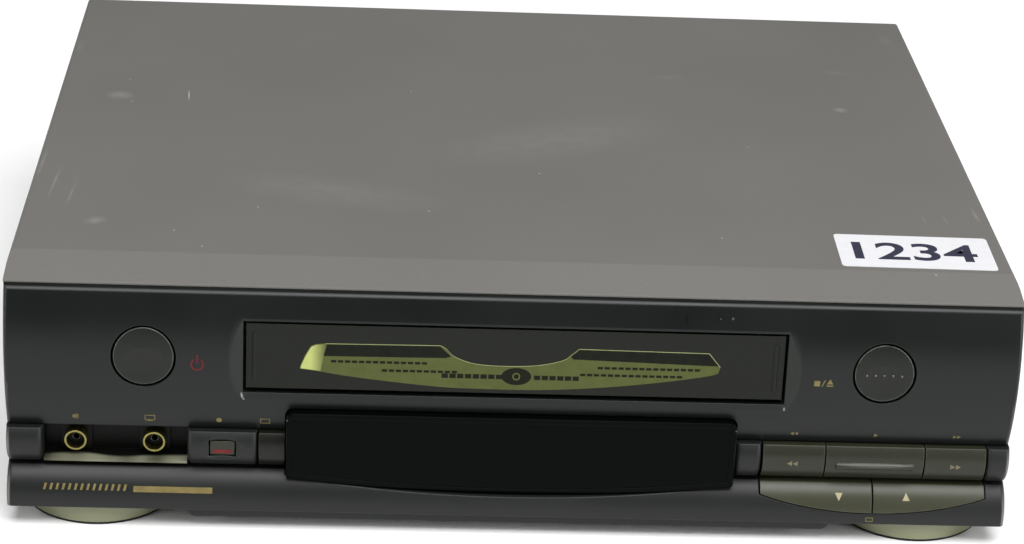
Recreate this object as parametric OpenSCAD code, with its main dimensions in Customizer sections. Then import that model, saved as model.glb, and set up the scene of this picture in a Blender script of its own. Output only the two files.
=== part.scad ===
/* [Case] */
// Width of the metal cover
body_w = 380; // [372:1:430]
// Depth of the metal cover from its front crease to its rear edge
body_d = 274; // [270:1:320]
// Height of the case above the feet's seat
case_h = 91; // [90:1:110]
// Sheet thickness of the cover and the pan
sheet_t = 0.9; // [0.7:0.1:1.2]
// Wall of the plastic front mouldings
panel_t = 2.5; // [2:0.1:2.8]
// Depth of the sloped strip in front of the cover's crease
strip_d = 20; // [16:1:24]
// How far the sloped strip falls
strip_drop = 3.5; // [2:0.5:5]
// Thickness of the rear panel
rear_t = 1.6; // [1:0.1:2.5]

/* [Front shape] */
// Radius of the convex upper fascia
fascia_r = 75; // [65:1:110]
// How far the fascia's crown stands in front of the crease
fascia_reach = 29.5; // [27:0.5:30]
// Height of the fascia's crown above the case bottom
fascia_crown = 54; // [50:1:58]
// Rounding of the fascia's top edge
edge_round = 3; // [3:0.5:5]
// Height of the lower bezel
base_h = 14.5; // [13:0.5:16]
// Radius of the lower bezel's bulge
base_r = 14.5; // [14:0.5:18]
// How far the lower bezel stands in front of the crease
base_reach = 34.6; // [33:0.2:36]
// Height of the dark groove under the control bar
groove_h = 2; // [1.5:0.1:3]
// Height of the half-round control bar
bar_h = 14.1; // [13:0.1:16]
// Radius of the control bar
bar_r = 10.8; // [10:0.1:14]
// How far the control bar stands in front of the crease
bar_reach = 31.1; // [30:0.1:32]
// Width of the skirt under the lower bezel
skirt_w = 245; // [200:1:246]
// How far the skirt hangs down
skirt_h = 3.8; // [3:0.2:6]
// Rounding of the front mouldings' upright ends
corner_r = 1.9; // [1:0.1:2.2]

/* [Cassette] */
// Width of the cassette that the slot takes
cassette_w = 188; // [187:0.5:190]
// Depth of the cassette
cassette_d = 104; // [103:0.5:105]
// Thickness of the cassette
cassette_t = 25; // [24:0.5:26]
// Slot width beyond the cassette, both sides together
slot_room_w = 15; // [14:0.5:18]
// Slot height beyond the cassette, which the open flap needs
slot_room_h = 3.3; // [3.2:0.1:4]
// Distance from the case top to the slot's upper edge
slot_below_top = 15; // [15:0.5:16]
// Thickness of the flap
flap_t = 2; // [1.6:0.1:2.2]
// Gap between the flap's ends and the slot
flap_gap = 1.1; // [0.8:0.1:1.5]
// Gap under the flap
flap_foot_gap = 1.7; // [1.2:0.1:2.2]
// How far the carriage carries a cassette inwards
feed_travel = 85; // [83:1:86]
// Height of the seated cassette above the mechanism's plate
seat_h = 4.4; // [4:0.1:6]

/* [Controls] */
// Diameter of the bores of the power and eject buttons
round_bore_d = 24.2; // [20:0.2:27]
// Distance of the round buttons from the case sides
round_from_side = 51.8; // [46:0.2:56]
// Distance of the round buttons below the case top
round_below_top = 29.5; // [27:0.5:32]
// Travel of the round buttons
round_travel = 1.5; // [1:0.1:2]
// Width of the solid block at the bar's left end
left_end_w = 13.4; // [12:0.1:16]
// Width of the recess that holds the front sockets
jack_recess_w = 54.2; // [50:0.1:56]
// Width of the block round the record key
record_block_w = 26.1; // [24:0.1:28]
// Width of the record key
record_key_w = 9; // [8:0.1:10]
// Height of the record key
record_key_h = 5.6; // [4.5:0.1:6]
// Width of the monitor key
monitor_w = 9.7; // [8:0.1:12]
// Width of the rewind key
rewind_w = 23.5; // [20:0.1:26]
// Width of the play key
play_w = 37.4; // [34:0.1:40]
// Width of the forward key
forward_w = 23.1; // [20:0.1:26]
// Width of the block at the bar's right end
right_end_w = 8.7; // [8:0.1:11]
// Width of the block between the window and the rewind key
filler_w = 9.8; // [9:0.1:12]
// Gap round a key
key_gap = 0.6; // [0.4:0.05:0.8]
// Travel of the bar keys and channel keys
key_travel = 1.2; // [0.8:0.1:1.4]
// Height of the display window above the control bar
window_rise = 9.9; // [7:0.1:10.5]
// Height of the display window below the control bar, at its middle
window_drop = 8.2; // [7:0.1:9.5]
// How much the window's lower edge rises towards its ends
window_sag = 5.3; // [4:0.1:5.5]
// Height of the channel keys at the line between them
channel_h = 9.3; // [8:0.1:10.2]
// How much the channel keys' lower edge rises towards their ends
channel_sag = 6; // [5:0.1:6.5]

/* [Feet] */
// Height of the feet
foot_h = 9; // [8:0.5:12]
// Diameter of the front feet
foot_d = 60; // [50:1:62]
// Distance of the front feet's centres from the case sides
foot_from_side = 32.5; // [31:0.5:36]
// Distance of the front feet behind the lower bezel's front
foot_set_back = 2.6; // [1:0.2:5]
// Thickness of the pads under the front feet
pad_t = 1.2; // [0.8:0.1:1.6]
// Diameter of the rear feet
rear_foot_d = 26; // [20:1:32]

/* [Sockets] */
// Outer diameter of a phono socket's sleeve
phono_d = 8.3; // [8.2:0.1:8.4]
// Distance between the two front sockets
phono_gap = 29.4; // [26:0.1:30]
// Length of a rear phono sleeve outside its block
phono_len = 8; // [7:0.5:9]
// Outer diameter of an aerial socket
aerial_d = 9.4; // [9:0.1:10]
// Length of an aerial socket outside the rear panel
aerial_len = 10; // [9:0.5:12]

/* [Mechanism] */
// Height of the mechanism's plate above the case bottom
deck_up = 18; // [17.6:0.2:19]
// Thickness of the mechanism's plate
deck_t = 1.6; // [1.2:0.1:2]
// Distance between the two reel spindles
hub_gap = 84; // [80:1:88]
// Distance of the spindles behind the seated cassette's front
hub_in = 46; // [44:1:48]
// Diameter of the head drum
drum_d = 62; // [58:1:64]
// Tilt of the head drum
drum_tilt = 6; // [0:1:6]
// Distance of the drum's axis behind the seated cassette
drum_behind = 40; // [40:1:42]
// Radius of the capstan's shaft
capstan_r = 1.5; // [1:0.1:2]
// Radius of the pinch roller
pinch_r = 8; // [7:0.5:9]
// Tooth module of the loading gears
gear_m = 1; // [1:0.1:1.05]
// Radial running clearance of shafts and pins
run = 0.05; // [0.03:0.01:0.09]
// Gap between pieces that pass or butt without touching
gap = 0.3; // [0.2:0.05:0.4]

/* [Hidden] */
$fn = 64;

// Heights, from the surface that the feet stand on
z_case = foot_h;
z_top = z_case + case_h;
pan_top = z_case + sheet_t;
base_top = z_case + base_h;
bar_low = base_top + groove_h;
bar_top = bar_low + bar_h;
fascia_low = bar_top + gap;
cover_low = z_case + 1.5;

// Half widths of the mouldings and of the space inside the cover
half_w = body_w / 2;
front_half = half_w - gap;
inner_half = half_w - sheet_t - gap;

// Y places: 0 is the cover's crease, and -Y is the front
spine_back = -16.5;
spine_t = 2;
spine_front = spine_back - spine_t;
board_t = 1.6;
board_y = -12;
switch_h = 3.5;
switch_face = board_y - switch_h;
plunger_h = 0.7;
stem_end = switch_face - plunger_h;
front_wall_back = -14;
bezel_back = -8;
lip_y = body_d - sheet_t;
rear_y = lip_y - gap / 3 - rear_t;
mid_y = (body_d - sheet_t - gap / 3 + aerial_len - base_reach) / 2;

// The convex fascia, its rounded top edge and the sloped strip above it
fascia_cy = -fascia_reach + fascia_r;
fascia_cz = z_case + fascia_crown;
strip_clear = 0.1;
function strip_under(y) = z_top - sheet_t - strip_clear + strip_drop * y / strip_d;
edge_cz = strip_under(-strip_d) - edge_round;
edge_sin = (edge_cz - fascia_cz) / (fascia_r - edge_round);
edge_cy = fascia_cy - sqrt(pow(fascia_r - edge_round, 2) - pow(edge_cz - fascia_cz, 2));
function fascia_y(z) = fascia_cy - sqrt(pow(fascia_r, 2) - pow(z - fascia_cz, 2));

// The bar and the lower bezel
bar_axis_up = 7.6;
bar_cy = -bar_reach + bar_r;
bar_cz = bar_low + bar_axis_up;
base_cy = -base_reach + base_r;
base_cz = z_case + 2;

// The slot: a flat field cut into the convex fascia, with a collar behind it
slot_w = cassette_w + slot_room_w;
slot_top = z_top - slot_below_top;
slot_h = cassette_t + slot_room_h;
slot_low = slot_top - slot_h;
field_top = slot_top + 0.9;
field_low = slot_low - 2.4;
field_y = fascia_y(field_low);
field_lean = atan((fascia_y(field_top) - field_y) / (field_top - field_low));
field_h = (field_top - field_low) / cos(field_lean);
field_flare = 2.6;
sill = 2.4;
head = 0.9;
collar_t = 2;
collar_d = 9;
flap_set = 0.8;
pivot_in = 3.6;
pivot_up = 1;
pivot_r = 1.5;
ear_r = 2.1;
ear_w = 2;
lug_w = 2.4;
flap_w = slot_w - 2 * flap_gap;
flap_head_gap = 1.2;
flap_low = sill + flap_foot_gap;
flap_top = field_h - head - flap_head_gap;
pivot_h = field_h - head + pivot_up;

// The keys' places along X
record_x = -front_half + left_end_w + jack_recess_w;
monitor_x = record_x + record_block_w + key_gap;
window_x0 = monitor_x + monitor_w + key_gap;
forward_x1 = front_half - right_end_w - key_gap;
play_x1 = forward_x1 - forward_w - key_gap;
rewind_x1 = play_x1 - play_w - key_gap;
filler_x1 = rewind_x1 - rewind_w - key_gap;
window_x1 = filler_x1 - filler_w - key_gap;
recess_x0 = -front_half + left_end_w;
jack_x = [recess_x0 + 12, recess_x0 + 12 + phono_gap];
jack_z = bar_low + 7.6;
record_key_x = record_x + record_block_w / 2;
record_key_z = bar_low + 7.7;
scoop_r = 9;
scoop_out = 6.6;
channel_x0 = rewind_x1 - rewind_w;
channel_x1 = forward_x1 + 1;
channel_mid = (channel_x0 + channel_x1) / 2;
channel_low = base_top - gap - channel_h;
channel_hw = (channel_x1 - channel_x0) / 2;
channel_proud = 0.5;
window_mid = (window_x0 + window_x1) / 2;
window_hw = (window_x1 - window_x0) / 2;
window_top = bar_top + window_rise;
window_low = bar_low - window_drop;
window_r = 120;
window_t = 2.2;
window_cz = (window_top + window_low) / 2;
window_cy = -bar_reach - 1.6 + window_r;
window_round = 3;
rim_w = 2;
rim_up = 0.4;
round_x = half_w - round_from_side;
round_z = z_top - round_below_top;
round_cap_r = round_bore_d / 2 - key_gap * 1.6;
stem_w = 3;

// Feet
foot_x = half_w - foot_from_side;
foot_y = -base_reach + foot_set_back + foot_d / 2;
ring_t = 0.8;
rear_foot_x = half_w - 40;
rear_foot_y = body_d - 45;

// The cassette's places: at the slot, and seated on the reels
cassette_y = -fascia_reach + 8.5;
stop_y = cassette_y + cassette_d;
load_z = slot_low + 0.9;
seat_front = cassette_y + feed_travel;
seat_back = stop_y + feed_travel;
deck_low = z_case + deck_up;
deck_top = deck_low + deck_t;
seat_z = deck_top + seat_h;
drop = load_z - seat_z;

// The carriage: a basket inside a slider inside the two side brackets
ledge_t = 1;
plate_t = 1;
basket_in = cassette_w / 2 + 0.8;
basket_out = basket_in + 1.2;
basket_y0 = 8;
basket_y1 = stop_y + plate_t;
basket_top = load_z + cassette_t + 2.1;
slider_in = basket_out + gap;
slider_out = slider_in + 1.2;
bracket_in = slider_out + 0.8;
bracket_out = bracket_in + 1.2;
pin_y = [basket_y0 + 22, basket_y0 + 54];
pin_r = 2;
basket_pin_z = load_z + 14.5;
slider_pin_z = load_z + 26.5;
slot_gap = 0.15;
slider_low = basket_pin_z - drop - pin_r - 4;
slider_top = slider_pin_z + pin_r + 2;
brace_z = basket_top + plate_t + 0.8;

// The tape path, seen from above
hub_x = hub_gap / 2;
hub_y = seat_front + hub_in;
reel_r = 17;
reel_z = deck_top + 0.8;
spindle_top = seat_z + 12;
drum_y = seat_back + drum_behind;
drum_r = drum_d / 2;
gear_teeth = 20;
gear_r = gear_teeth * gear_m / 2;
mesh_room = 0.1;
guide_x = gear_r + mesh_room / 2;
guide_y = drum_y - 23;
guide_arm = 44.8;
guide_rest = 119.4;
guide_swing = 101;
guide_post_r = 3.2;
stud_r = 2;
track_w = 2 * stud_r + 1.6;
loading_teeth = 60;
loading_r = loading_teeth * gear_m / 2;
loading_x = -guide_x - gear_r - loading_r - mesh_room;
pinion_teeth = 8;
pinion_r = pinion_teeth * gear_m / 2;
pinion_at = 132;
pinion_x = loading_x + (loading_r + pinion_r + mesh_room) * cos(pinion_at);
pinion_y = guide_y + (loading_r + pinion_r + mesh_room) * sin(pinion_at);
capstan_x = 68;
capstan_y = seat_back + 8;
pinch_arm_l = 27.7;
pinch_x = capstan_x + 27;
pinch_y = capstan_y + 24;
pinch_rest = 190;
idler_y = hub_y - 40;
idler_r = 17;
idler_l = 28;
rotor_r = 26;
pulley_small = 5;
pulley_big = 15;
deck_x = bracket_out + 8;
deck_y0 = basket_y0 + 4;
deck_y1 = drum_y + drum_r + 6;

// Levels under the mechanism's plate, measured down from it
arm_lo = deck_low - 4.4;
arm_hi = deck_low - 2;
gear_lo = deck_low - 7.6;
gear_hi = arm_lo - 0.3;
belt_lo = deck_low - 10.2;
belt_hi = gear_lo - 0.3;
rotor_lo = deck_low - 14.4;
rotor_hi = belt_lo - 0.4;
stator_lo = deck_low - 16.2;
stator_hi = stator_lo + 1;

// Deck posts and the boards on the pan
post_x = deck_x - 6;
post_y = [deck_y0 + 12, deck_y1 - 14];
stand_h = 5;
board_z = pan_top + stand_h;
power_x0 = -inner_half + 6;
power_x1 = -deck_x - 6;
power_y0 = 92;
power_y1 = rear_y - 6;
main_x0 = deck_x + 6;
main_x1 = inner_half - 6;
main_y0 = 30;
main_y1 = rear_y - 6;
tuner_y0 = main_y1 - 70;
tuner_w = 48;
tuner_h = 48;
aerial_z = [board_z + 14, board_z + 34];
aerial_x = (main_x0 + main_x1) / 2;
block_z = z_case + 30;
phono_x = [for (i = [0:2]) drum_r + 19 + i * 18];
socket_room = 1.5;
phono_z = [block_z, block_z + 20];
inlet_x = power_x0 + 24;
inlet_z = z_case + 26;
inlet_w = 21;
inlet_h = 13;
mouth_w = 8.7;
mouth_h = 4.6;
mouth_cut = 2.6;

screw_side_y = [34, body_d - 42];
screw_side_z = z_case + 13;
screw_rear_x = [-half_w * 0.66, 0, half_w * 0.66];
screw_rear_z = z_top - 5.5;
screw_r = 1.5;

// The whole object stands over its origin, midway between its front and its rear
module in_case() translate([0, -mid_y, 0]) children();

// A profile in Y and Z drawn out along X, and one in X and Z drawn out along Y
module along_x(x0, x1) translate([x0, 0, 0]) rotate([90, 0, 90]) linear_extrude(x1 - x0) children();
module along_y(y0, y1) translate([0, y1, 0]) rotate([90, 0, 0]) linear_extrude(y1 - y0) children();
module disc(a, b, r) translate([a, b]) circle(r);
module area(a0, b0, a1, b1) translate([a0, b0]) square([a1 - a0, b1 - b0]);
module block(a, b) translate(a) cube(b - a);
module rod_x(x0, x1, y, z, r) translate([x0, y, z]) rotate([0, 90, 0]) cylinder(r = r, h = x1 - x0);
module rod_y(x, y0, y1, z, r) translate([x, y0, z]) rotate([-90, 0, 0]) cylinder(r = r, h = y1 - y0);
module rod_z(x, y, z0, z1, r) translate([x, y, z0]) cylinder(r = r, h = z1 - z0);
module mirrored() {
    children();
    mirror([1, 0, 0]) children();
}
// A drum that lies along X, with its two ends rounded
module drum(y, z, r, x0, x1) translate([x0, y, z]) rotate([0, 90, 0]) rotate_extrude($fn = 180) {
    area(0, 0, r - corner_r, x1 - x0);
    area(0, corner_r, r, x1 - x0 - corner_r);
    disc(r - corner_r, corner_r, corner_r);
    disc(r - corner_r, x1 - x0 - corner_r, corner_r);
}

// A spur gear with straight-sided teeth, one of them centred on the angle phase
module gear_shape(teeth, phase) {
    pitch = teeth * gear_m / 2;
    step = 360 / teeth;
    outline = [for (i = [0:teeth - 1]) for (p = [[-0.29, -1.2], [-0.12, 0.9], [0.12, 0.9], [0.29, -1.2]])
        (pitch + p[1] * gear_m) * [cos(phase + (i + p[0]) * step), sin(phase + (i + p[0]) * step)]];
    polygon(outline);
}
module gear(x, y, z0, z1, teeth, phase, bore) translate([x, y, z0]) linear_extrude(z1 - z0)
    difference() { gear_shape(teeth, phase); circle(bore); }

// A coil of wire along X, as one closed sweep of a ring of points
module coil_x(x0, y, z, r, wire, turns) {
    sides = 8;
    steps = 16;
    count = turns * steps;
    pts = [for (i = [0:count]) for (k = [0:sides - 1])
        let (a = 360 * i / steps, b = 360 * k / sides, q = r + wire * cos(b))
        [x0 + wire * 2.3 * i / steps + wire * sin(b), y + q * cos(a), z + q * sin(a)]];
    walls = [for (i = [0:count - 1]) for (k = [0:sides - 1])
        let (n = (k + 1) % sides) [i * sides + k, i * sides + n, (i + 1) * sides + n, (i + 1) * sides + k]];
    first = [for (k = [sides - 1:-1:0]) k];
    last = [for (k = [0:sides - 1]) count * sides + k];
    polyhedron(pts, concat(walls, [first, last]));
}

// The folded cover: top, sloped front strip, two sides and a lip over the rear panel
module cover_profile() polygon([[-strip_d, z_top - strip_drop], [0, z_top], [body_d, z_top],
    [body_d, cover_low], [0, cover_low], [0, z_top - 2 * strip_drop], [-strip_d, z_top - 2 * strip_drop]]);
module cover_section(half, top, r) {
    area(-half, 0, half, top - r);
    area(-half + r, 0, half - r, top);
    disc(-half + r, top - r, r);
    disc(half - r, top - r, r);
}
module top_cover() color("#787570") in_case() difference() {
    intersection() {
        along_x(-half_w, half_w) cover_profile();
        along_y(-strip_d, body_d) cover_section(half_w, z_top, 2 * sheet_t);
    }
    along_x(-half_w - 1, half_w + 1) polygon([[-strip_d - 1, 0],
        [-strip_d - 1, z_top - strip_drop * (1 + 1 / strip_d) - sheet_t], [0, z_top - sheet_t], [0, 0]]);
    along_x(-half_w + sheet_t, half_w - sheet_t) polygon([[-strip_d - 1, 0],
        [-strip_d - 1, z_top - strip_drop * (1 + 1 / strip_d) - sheet_t], [0, z_top - sheet_t],
        [lip_y, z_top - sheet_t], [lip_y, z_top - 11], [body_d + 1, z_top - 11], [body_d + 1, 0]]);
    mirrored() for (y = screw_side_y) rod_x(half_w - 3, half_w + 1, y, screw_side_z, screw_r + 0.3);
    for (x = screw_rear_x) rod_y(x, lip_y - 1, body_d + 1, screw_rear_z, screw_r + 0.3);
}

// The pan: floor with vents, side and rear flanges, posts for the mechanism and stands for the boards
module vents(x0, y0, columns, rows, along, across) for (i = [0:columns - 1]) for (j = [0:rows - 1])
    block([x0 + i * across, y0 + j * along, z_case - 1], [x0 + i * across + 3, y0 + j * along + along - 6,
        pan_top + 1]);
module stands(x0, y0, x1, y1) for (x = [x0 + 5, x1 - 5]) for (y = [y0 + 5, y1 - 5])
    rod_z(x, y, pan_top - 0.1, board_z, 3);
module bottom_pan() color("silver") in_case() difference() {
    union() {
        block([-inner_half, bezel_back + gap, z_case], [inner_half, rear_y - gap, pan_top]);
        mirrored() block([inner_half - sheet_t, gap, z_case], [inner_half, rear_y - gap, z_case + 24]);
        block([-inner_half, rear_y - gap - sheet_t, z_case], [inner_half, rear_y - gap, board_z]);
        mirrored() for (y = post_y) rod_z(post_x, y, pan_top - 0.1, deck_low, 4);
        stands(power_x0, power_y0, power_x1, power_y1);
        stands(main_x0, main_y0, main_x1, main_y1);
    }
    vents(power_x0 + 12, power_y0 + 18, 5, 4, 34, 9);
    vents(-40, 20, 10, 2, 24, 9);
    vents(main_x0 + 14, main_y0 + 20, 4, 3, 34, 9);
    mirrored() for (y = screw_side_y)
        rod_x(inner_half - sheet_t - 1, inner_half + 1, y, screw_side_z, screw_r + run);
    mirrored() rod_z(foot_x, foot_y, z_case - 1, pan_top + 1, screw_r + run);
    mirrored() rod_z(rear_foot_x, rear_foot_y, z_case - 1, pan_top + 1, screw_r + run);
}

// The rear panel, with holes for what comes out of it and a field of vents behind the power board
module rear_panel() color("#8a8a88") in_case() difference() {
    block([-inner_half, rear_y, z_case], [inner_half, rear_y + rear_t, z_top - sheet_t - gap]);
    for (z = aerial_z) rod_y(aerial_x, rear_y - 1, rear_y + 4, z, aerial_d / 2 + socket_room);
    for (x = phono_x) for (z = phono_z) rod_y(x, rear_y - 1, rear_y + 4, z, phono_d / 2 + socket_room);
    block([inlet_x - inlet_w / 2 - gap, rear_y - 1, inlet_z - inlet_h / 2 - gap],
        [inlet_x + inlet_w / 2 + gap, rear_y + 4, inlet_z + inlet_h / 2 + gap]);
    for (i = [0:9]) block([power_x0 + 4 + i * 6, rear_y - 1, z_case + 46], [power_x0 + 7 + i * 6, rear_y + 4,
        z_case + 74]);
    for (x = screw_rear_x) rod_y(x, rear_y - 1, rear_y + rear_t + 1, screw_rear_z, screw_r + run);
}

// The upper fascia: a convex moulding with a flat field round the slot
module fascia_profile(t) {
    intersection() {
        disc(fascia_cy, fascia_cz, fascia_r - t);
        area(-90, fascia_low + t, edge_cy + 1, fascia_cz + (fascia_r - t) * edge_sin);
    }
    disc(edge_cy, edge_cz, max(edge_round - t, 0.2));
    polygon([[edge_cy, fascia_low + t], [0, fascia_low + t], [0, strip_under(0) - t],
        [edge_cy, strip_under(edge_cy) - t]]);
}
// Local frame of the flat field: X across, Z up its slope, Y into the case
module on_field() translate([0, field_y, field_low]) rotate([-field_lean, 0, 0]) children();
module slot_prism(half, low, high, y0, y1) translate([-half, y0, low]) cube([2 * half, y1 - y0, high - low]);
module window_outline(grow) intersection() {
    union() {
        area(window_x0 - grow, 0, window_x1 + grow, window_top - window_round);
        area(window_x0 + window_round, 0, window_x1 - window_round, window_top + grow);
        for (x = [window_x0 + window_round, window_x1 - window_round])
            disc(x, window_top - window_round, window_round + grow);
    }
    arc_floor(window_mid, window_low - grow, window_hw, window_sag);
}
// The area above an arc that is lowest at its middle and rises by sag towards its ends
module arc_floor(mid, low, half, sag) {
    r = (half * half + sag * sag) / (2 * sag);
    translate([mid, low + r]) circle(r, $fn = 720);
}
module round_buttons() for (x = [-round_x, round_x]) translate([x, 0, round_z]) children();
module upper_fascia() color("#3c3d3a") in_case() difference() {
    union() {
        difference() {
            intersection() {
                along_x(-front_half, front_half) fascia_profile(0);
                drum(fascia_cy, fascia_cz, fascia_r + 0.05, -front_half - 0.05, front_half + 0.05);
            }
            difference() {
                along_x(-front_half + panel_t, front_half - panel_t) fascia_profile(panel_t);
                on_field() slot_prism(slot_w / 2 + collar_t + lug_w, sill - collar_t, field_h + collar_t, 0,
                    collar_d);
                round_buttons() rod_y(0, -40, front_wall_back, 0, round_bore_d / 2 + 1.8);
            }
            block([-front_half + panel_t, front_wall_back, fascia_low - 1],
                [front_half - panel_t, 1, fascia_low + panel_t + 1]);
            block([-front_half + panel_t, -5, fascia_low], [front_half - panel_t, 1, strip_under(0) - panel_t]);
        }
        mirrored() block([front_half - panel_t - 1, -4, fascia_low + 6], [front_half - panel_t, 8,
            z_top - 14]);
    }
    on_field() {
        translate([0, 0, 0]) linear_extrude(field_h) polygon([[-slot_w / 2, 0], [-slot_w / 2 - field_flare * 4, -4],
            [slot_w / 2 + field_flare * 4, -4], [slot_w / 2, 0]]);
        slot_prism(slot_w / 2, sill, field_h - head, -1, collar_d + 1);
        slot_prism(slot_w / 2, sill, pivot_h + ear_r + gap, panel_t - 1, collar_d + 1);
        rod_x(-slot_w / 2 - lug_w, slot_w / 2 + lug_w, pivot_in, pivot_h, pivot_r + run);
    }
    round_buttons() rod_y(0, -60, 0, 0, round_bore_d / 2);
    along_y(-60, front_wall_back) window_outline(key_gap);
}

// The control bar: end blocks, the record key's surround and a filler, on one spine
module bar_profile(t) {
    intersection() {
        disc(bar_cy, bar_cz, bar_r - t);
        area(-60, bar_low + t, bar_cy + 1, bar_top - t);
    }
    area(bar_cy, bar_low + t, spine_back, bar_top - t);
}
module bar_block(x0, x1) difference() {
    union() {
        intersection() {
            drum(bar_cy, bar_cz, bar_r, x0, x1);
            block([x0 - 1, -60, bar_low], [x1 + 1, bar_cy + 1, bar_top]);
        }
        block([x0, bar_cy, bar_low], [x1, spine_back, bar_top]);
    }
    along_x(x0 + panel_t, x1 - panel_t) bar_profile(panel_t);
    block([x0 + panel_t, spine_front, bar_low + panel_t], [x1 - panel_t, spine_back + 1, bar_top - panel_t]);
}
module stem_hole(x, z) block([x - stem_w / 2 - gap, spine_front - 1, z - stem_w / 2 - gap],
    [x + stem_w / 2 + gap, spine_back + 1, z + stem_w / 2 + gap]);
bar_keys = [[monitor_x, monitor_x + monitor_w], [filler_x1 + key_gap, rewind_x1],
    [rewind_x1 + key_gap, play_x1], [play_x1 + key_gap, forward_x1]];
function middle(k) = (k[0] + k[1]) / 2;
module record_outline(grow) {
    area(record_key_x - record_key_w / 2 - grow, record_key_z - record_key_h / 2 - grow,
        record_key_x + record_key_w / 2 + grow, record_key_z + record_key_h / 2 + grow);
}
module control_bar() color("#4b4b46") in_case() difference() {
    union() {
        block([-front_half, spine_front, bar_low], [front_half, spine_back, bar_top]);
        bar_block(-front_half, recess_x0);
        difference() {
            bar_block(record_x, record_x + record_block_w);
            translate([record_key_x, -bar_reach - scoop_out, record_key_z]) scale([1.35, 1, 1])
                sphere(scoop_r);
        }
        bar_block(window_x1 + key_gap, filler_x1);
        bar_block(forward_x1 + key_gap, front_half);
        for (x = [record_x + record_block_w - 6, middle([window_x1, filler_x1]), front_half - right_end_w / 2])
            rod_y(x, spine_back - 1, board_y, bar_cz, 2.5);
    }
    along_y(-60, spine_back + 1) record_outline(key_gap);
    for (k = bar_keys) stem_hole(middle(k), bar_cz);
    block([window_mid - window_hw + 8, spine_front - 1, bar_low + 1.5], [window_mid + window_hw - 8,
        spine_back + 1, bar_top + 1]);
    for (x = jack_x) block([x - 6, spine_front - 1, jack_z - 6], [x + 6, spine_back + 1, jack_z + 6]);
}

// The lower bezel: a bulged moulding with a skirt, cut for the window and the channel keys
module base_profile(t) {
    intersection() {
        disc(base_cy, base_cz, base_r - t);
        area(-60, z_case + t, base_cy + 1, base_top - t);
    }
    area(base_cy, z_case + t, bezel_back, base_top - t);
}
module channel_outline(x0, x1, grow) intersection() {
    area(x0 - grow, 0, x1 + grow, base_top + 2);
    arc_floor(channel_mid, channel_low - grow, channel_hw, channel_sag);
}
module skirt_outline() {
    corner = 3.5;
    area(-skirt_w / 2, z_case - skirt_h + corner, skirt_w / 2, z_case + 1);
    area(-skirt_w / 2 + corner, z_case - skirt_h, skirt_w / 2 - corner, z_case + 1);
    for (x = [-skirt_w / 2 + corner, skirt_w / 2 - corner]) disc(x, z_case - skirt_h + corner, corner);
}
module lower_bezel() color("#4a4845") in_case() difference() {
    union() {
        difference() {
            union() {
                intersection() {
                    drum(base_cy, base_cz, base_r, -front_half, front_half);
                    block([-front_half - 1, -60, z_case], [front_half + 1, base_cy + 1, base_top]);
                }
                block([-front_half, base_cy, z_case], [front_half, bezel_back, base_top]);
            }
            along_x(-front_half + panel_t, front_half - panel_t) base_profile(panel_t);
            block([-front_half + panel_t, front_wall_back, z_case + panel_t],
                [front_half - panel_t, bezel_back + 1, base_top + 1]);
        }
        along_y(-base_reach + 2, -base_reach + 2 + panel_t) skirt_outline();
        mirrored() block([front_half - panel_t - 1, -10, z_case + panel_t - 1],
            [front_half - panel_t, 0, base_top - 1]);
    }
    along_y(-60, front_wall_back) window_outline(key_gap);
    along_y(-60, front_wall_back) channel_outline(channel_x0, channel_x1, key_gap);
}

// The glossy window: a gently bowed pane with a rim that reaches back into the front
module bow(r) translate([window_cy, window_cz]) circle(r, $fn = 720);
module display_window() color("#0c0c0d") in_case() difference() {
    intersection() {
        along_x(window_x0, window_x1) intersection() {
            bow(window_r);
            area(-60, 0, -bar_reach + 4.5, z_top);
        }
        along_y(-60, 0) window_outline(0);
    }
    intersection() {
        along_x(window_x0, window_x1) bow(window_r - window_t);
        along_y(-60, 0) window_outline(-1.5);
    }
    intersection() {
        along_y(-60, 0) window_outline(-rim_w);
        difference() {
            block([window_x0, -60, 0], [window_x1, -22, z_top]);
            along_x(window_x0 - 1, window_x1 + 1) bow(window_r - rim_up);
        }
    }
}

// The flap: a leaning plate with a raised rib near each end and ears that carry its pins
module cassette_flap() color("#2d2e29") in_case() on_field() {
    difference() {
        union() {
            translate([-flap_w / 2, flap_set, flap_low]) cube([flap_w, flap_t, flap_top - flap_low]);
            mirrored() translate([flap_w / 2 - 3.2, flap_set + 0.45, flap_low + 3.5])
                cylinder(r = 1.15, h = flap_top - flap_low - 7);
            mirrored() {
                translate([flap_w / 2 - ear_w, flap_set + flap_t / 2, flap_top - 6])
                    cube([ear_w, pivot_in + ear_r - flap_set - flap_t / 2, 6]);
                translate([flap_w / 2 - ear_w, flap_set + 1.2, flap_top - 3])
                    cube([ear_w, pivot_in + ear_r - flap_set - 1.2, pivot_h - flap_top + 3]);
                rod_x(flap_w / 2 - ear_w, flap_w / 2, pivot_in, pivot_h, ear_r);
                rod_x(flap_w / 2 - 0.5, slot_w / 2 + lug_w - gap, pivot_in, pivot_h, pivot_r);
            }
        }
        for (i = [-3:3]) translate([i * 26 - 10, flap_set + flap_t - 0.6, flap_low + 3])
            cube([20, 2, flap_top - flap_low - 8]);
    }
}

// The flap's return spring, a coil of wire round its left pin
module flap_spring() color("silver") in_case() on_field()
    coil_x(-slot_w / 2 + flap_gap + ear_w + 1, pivot_in, pivot_h, 1.4, 0.35, 5);

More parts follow.
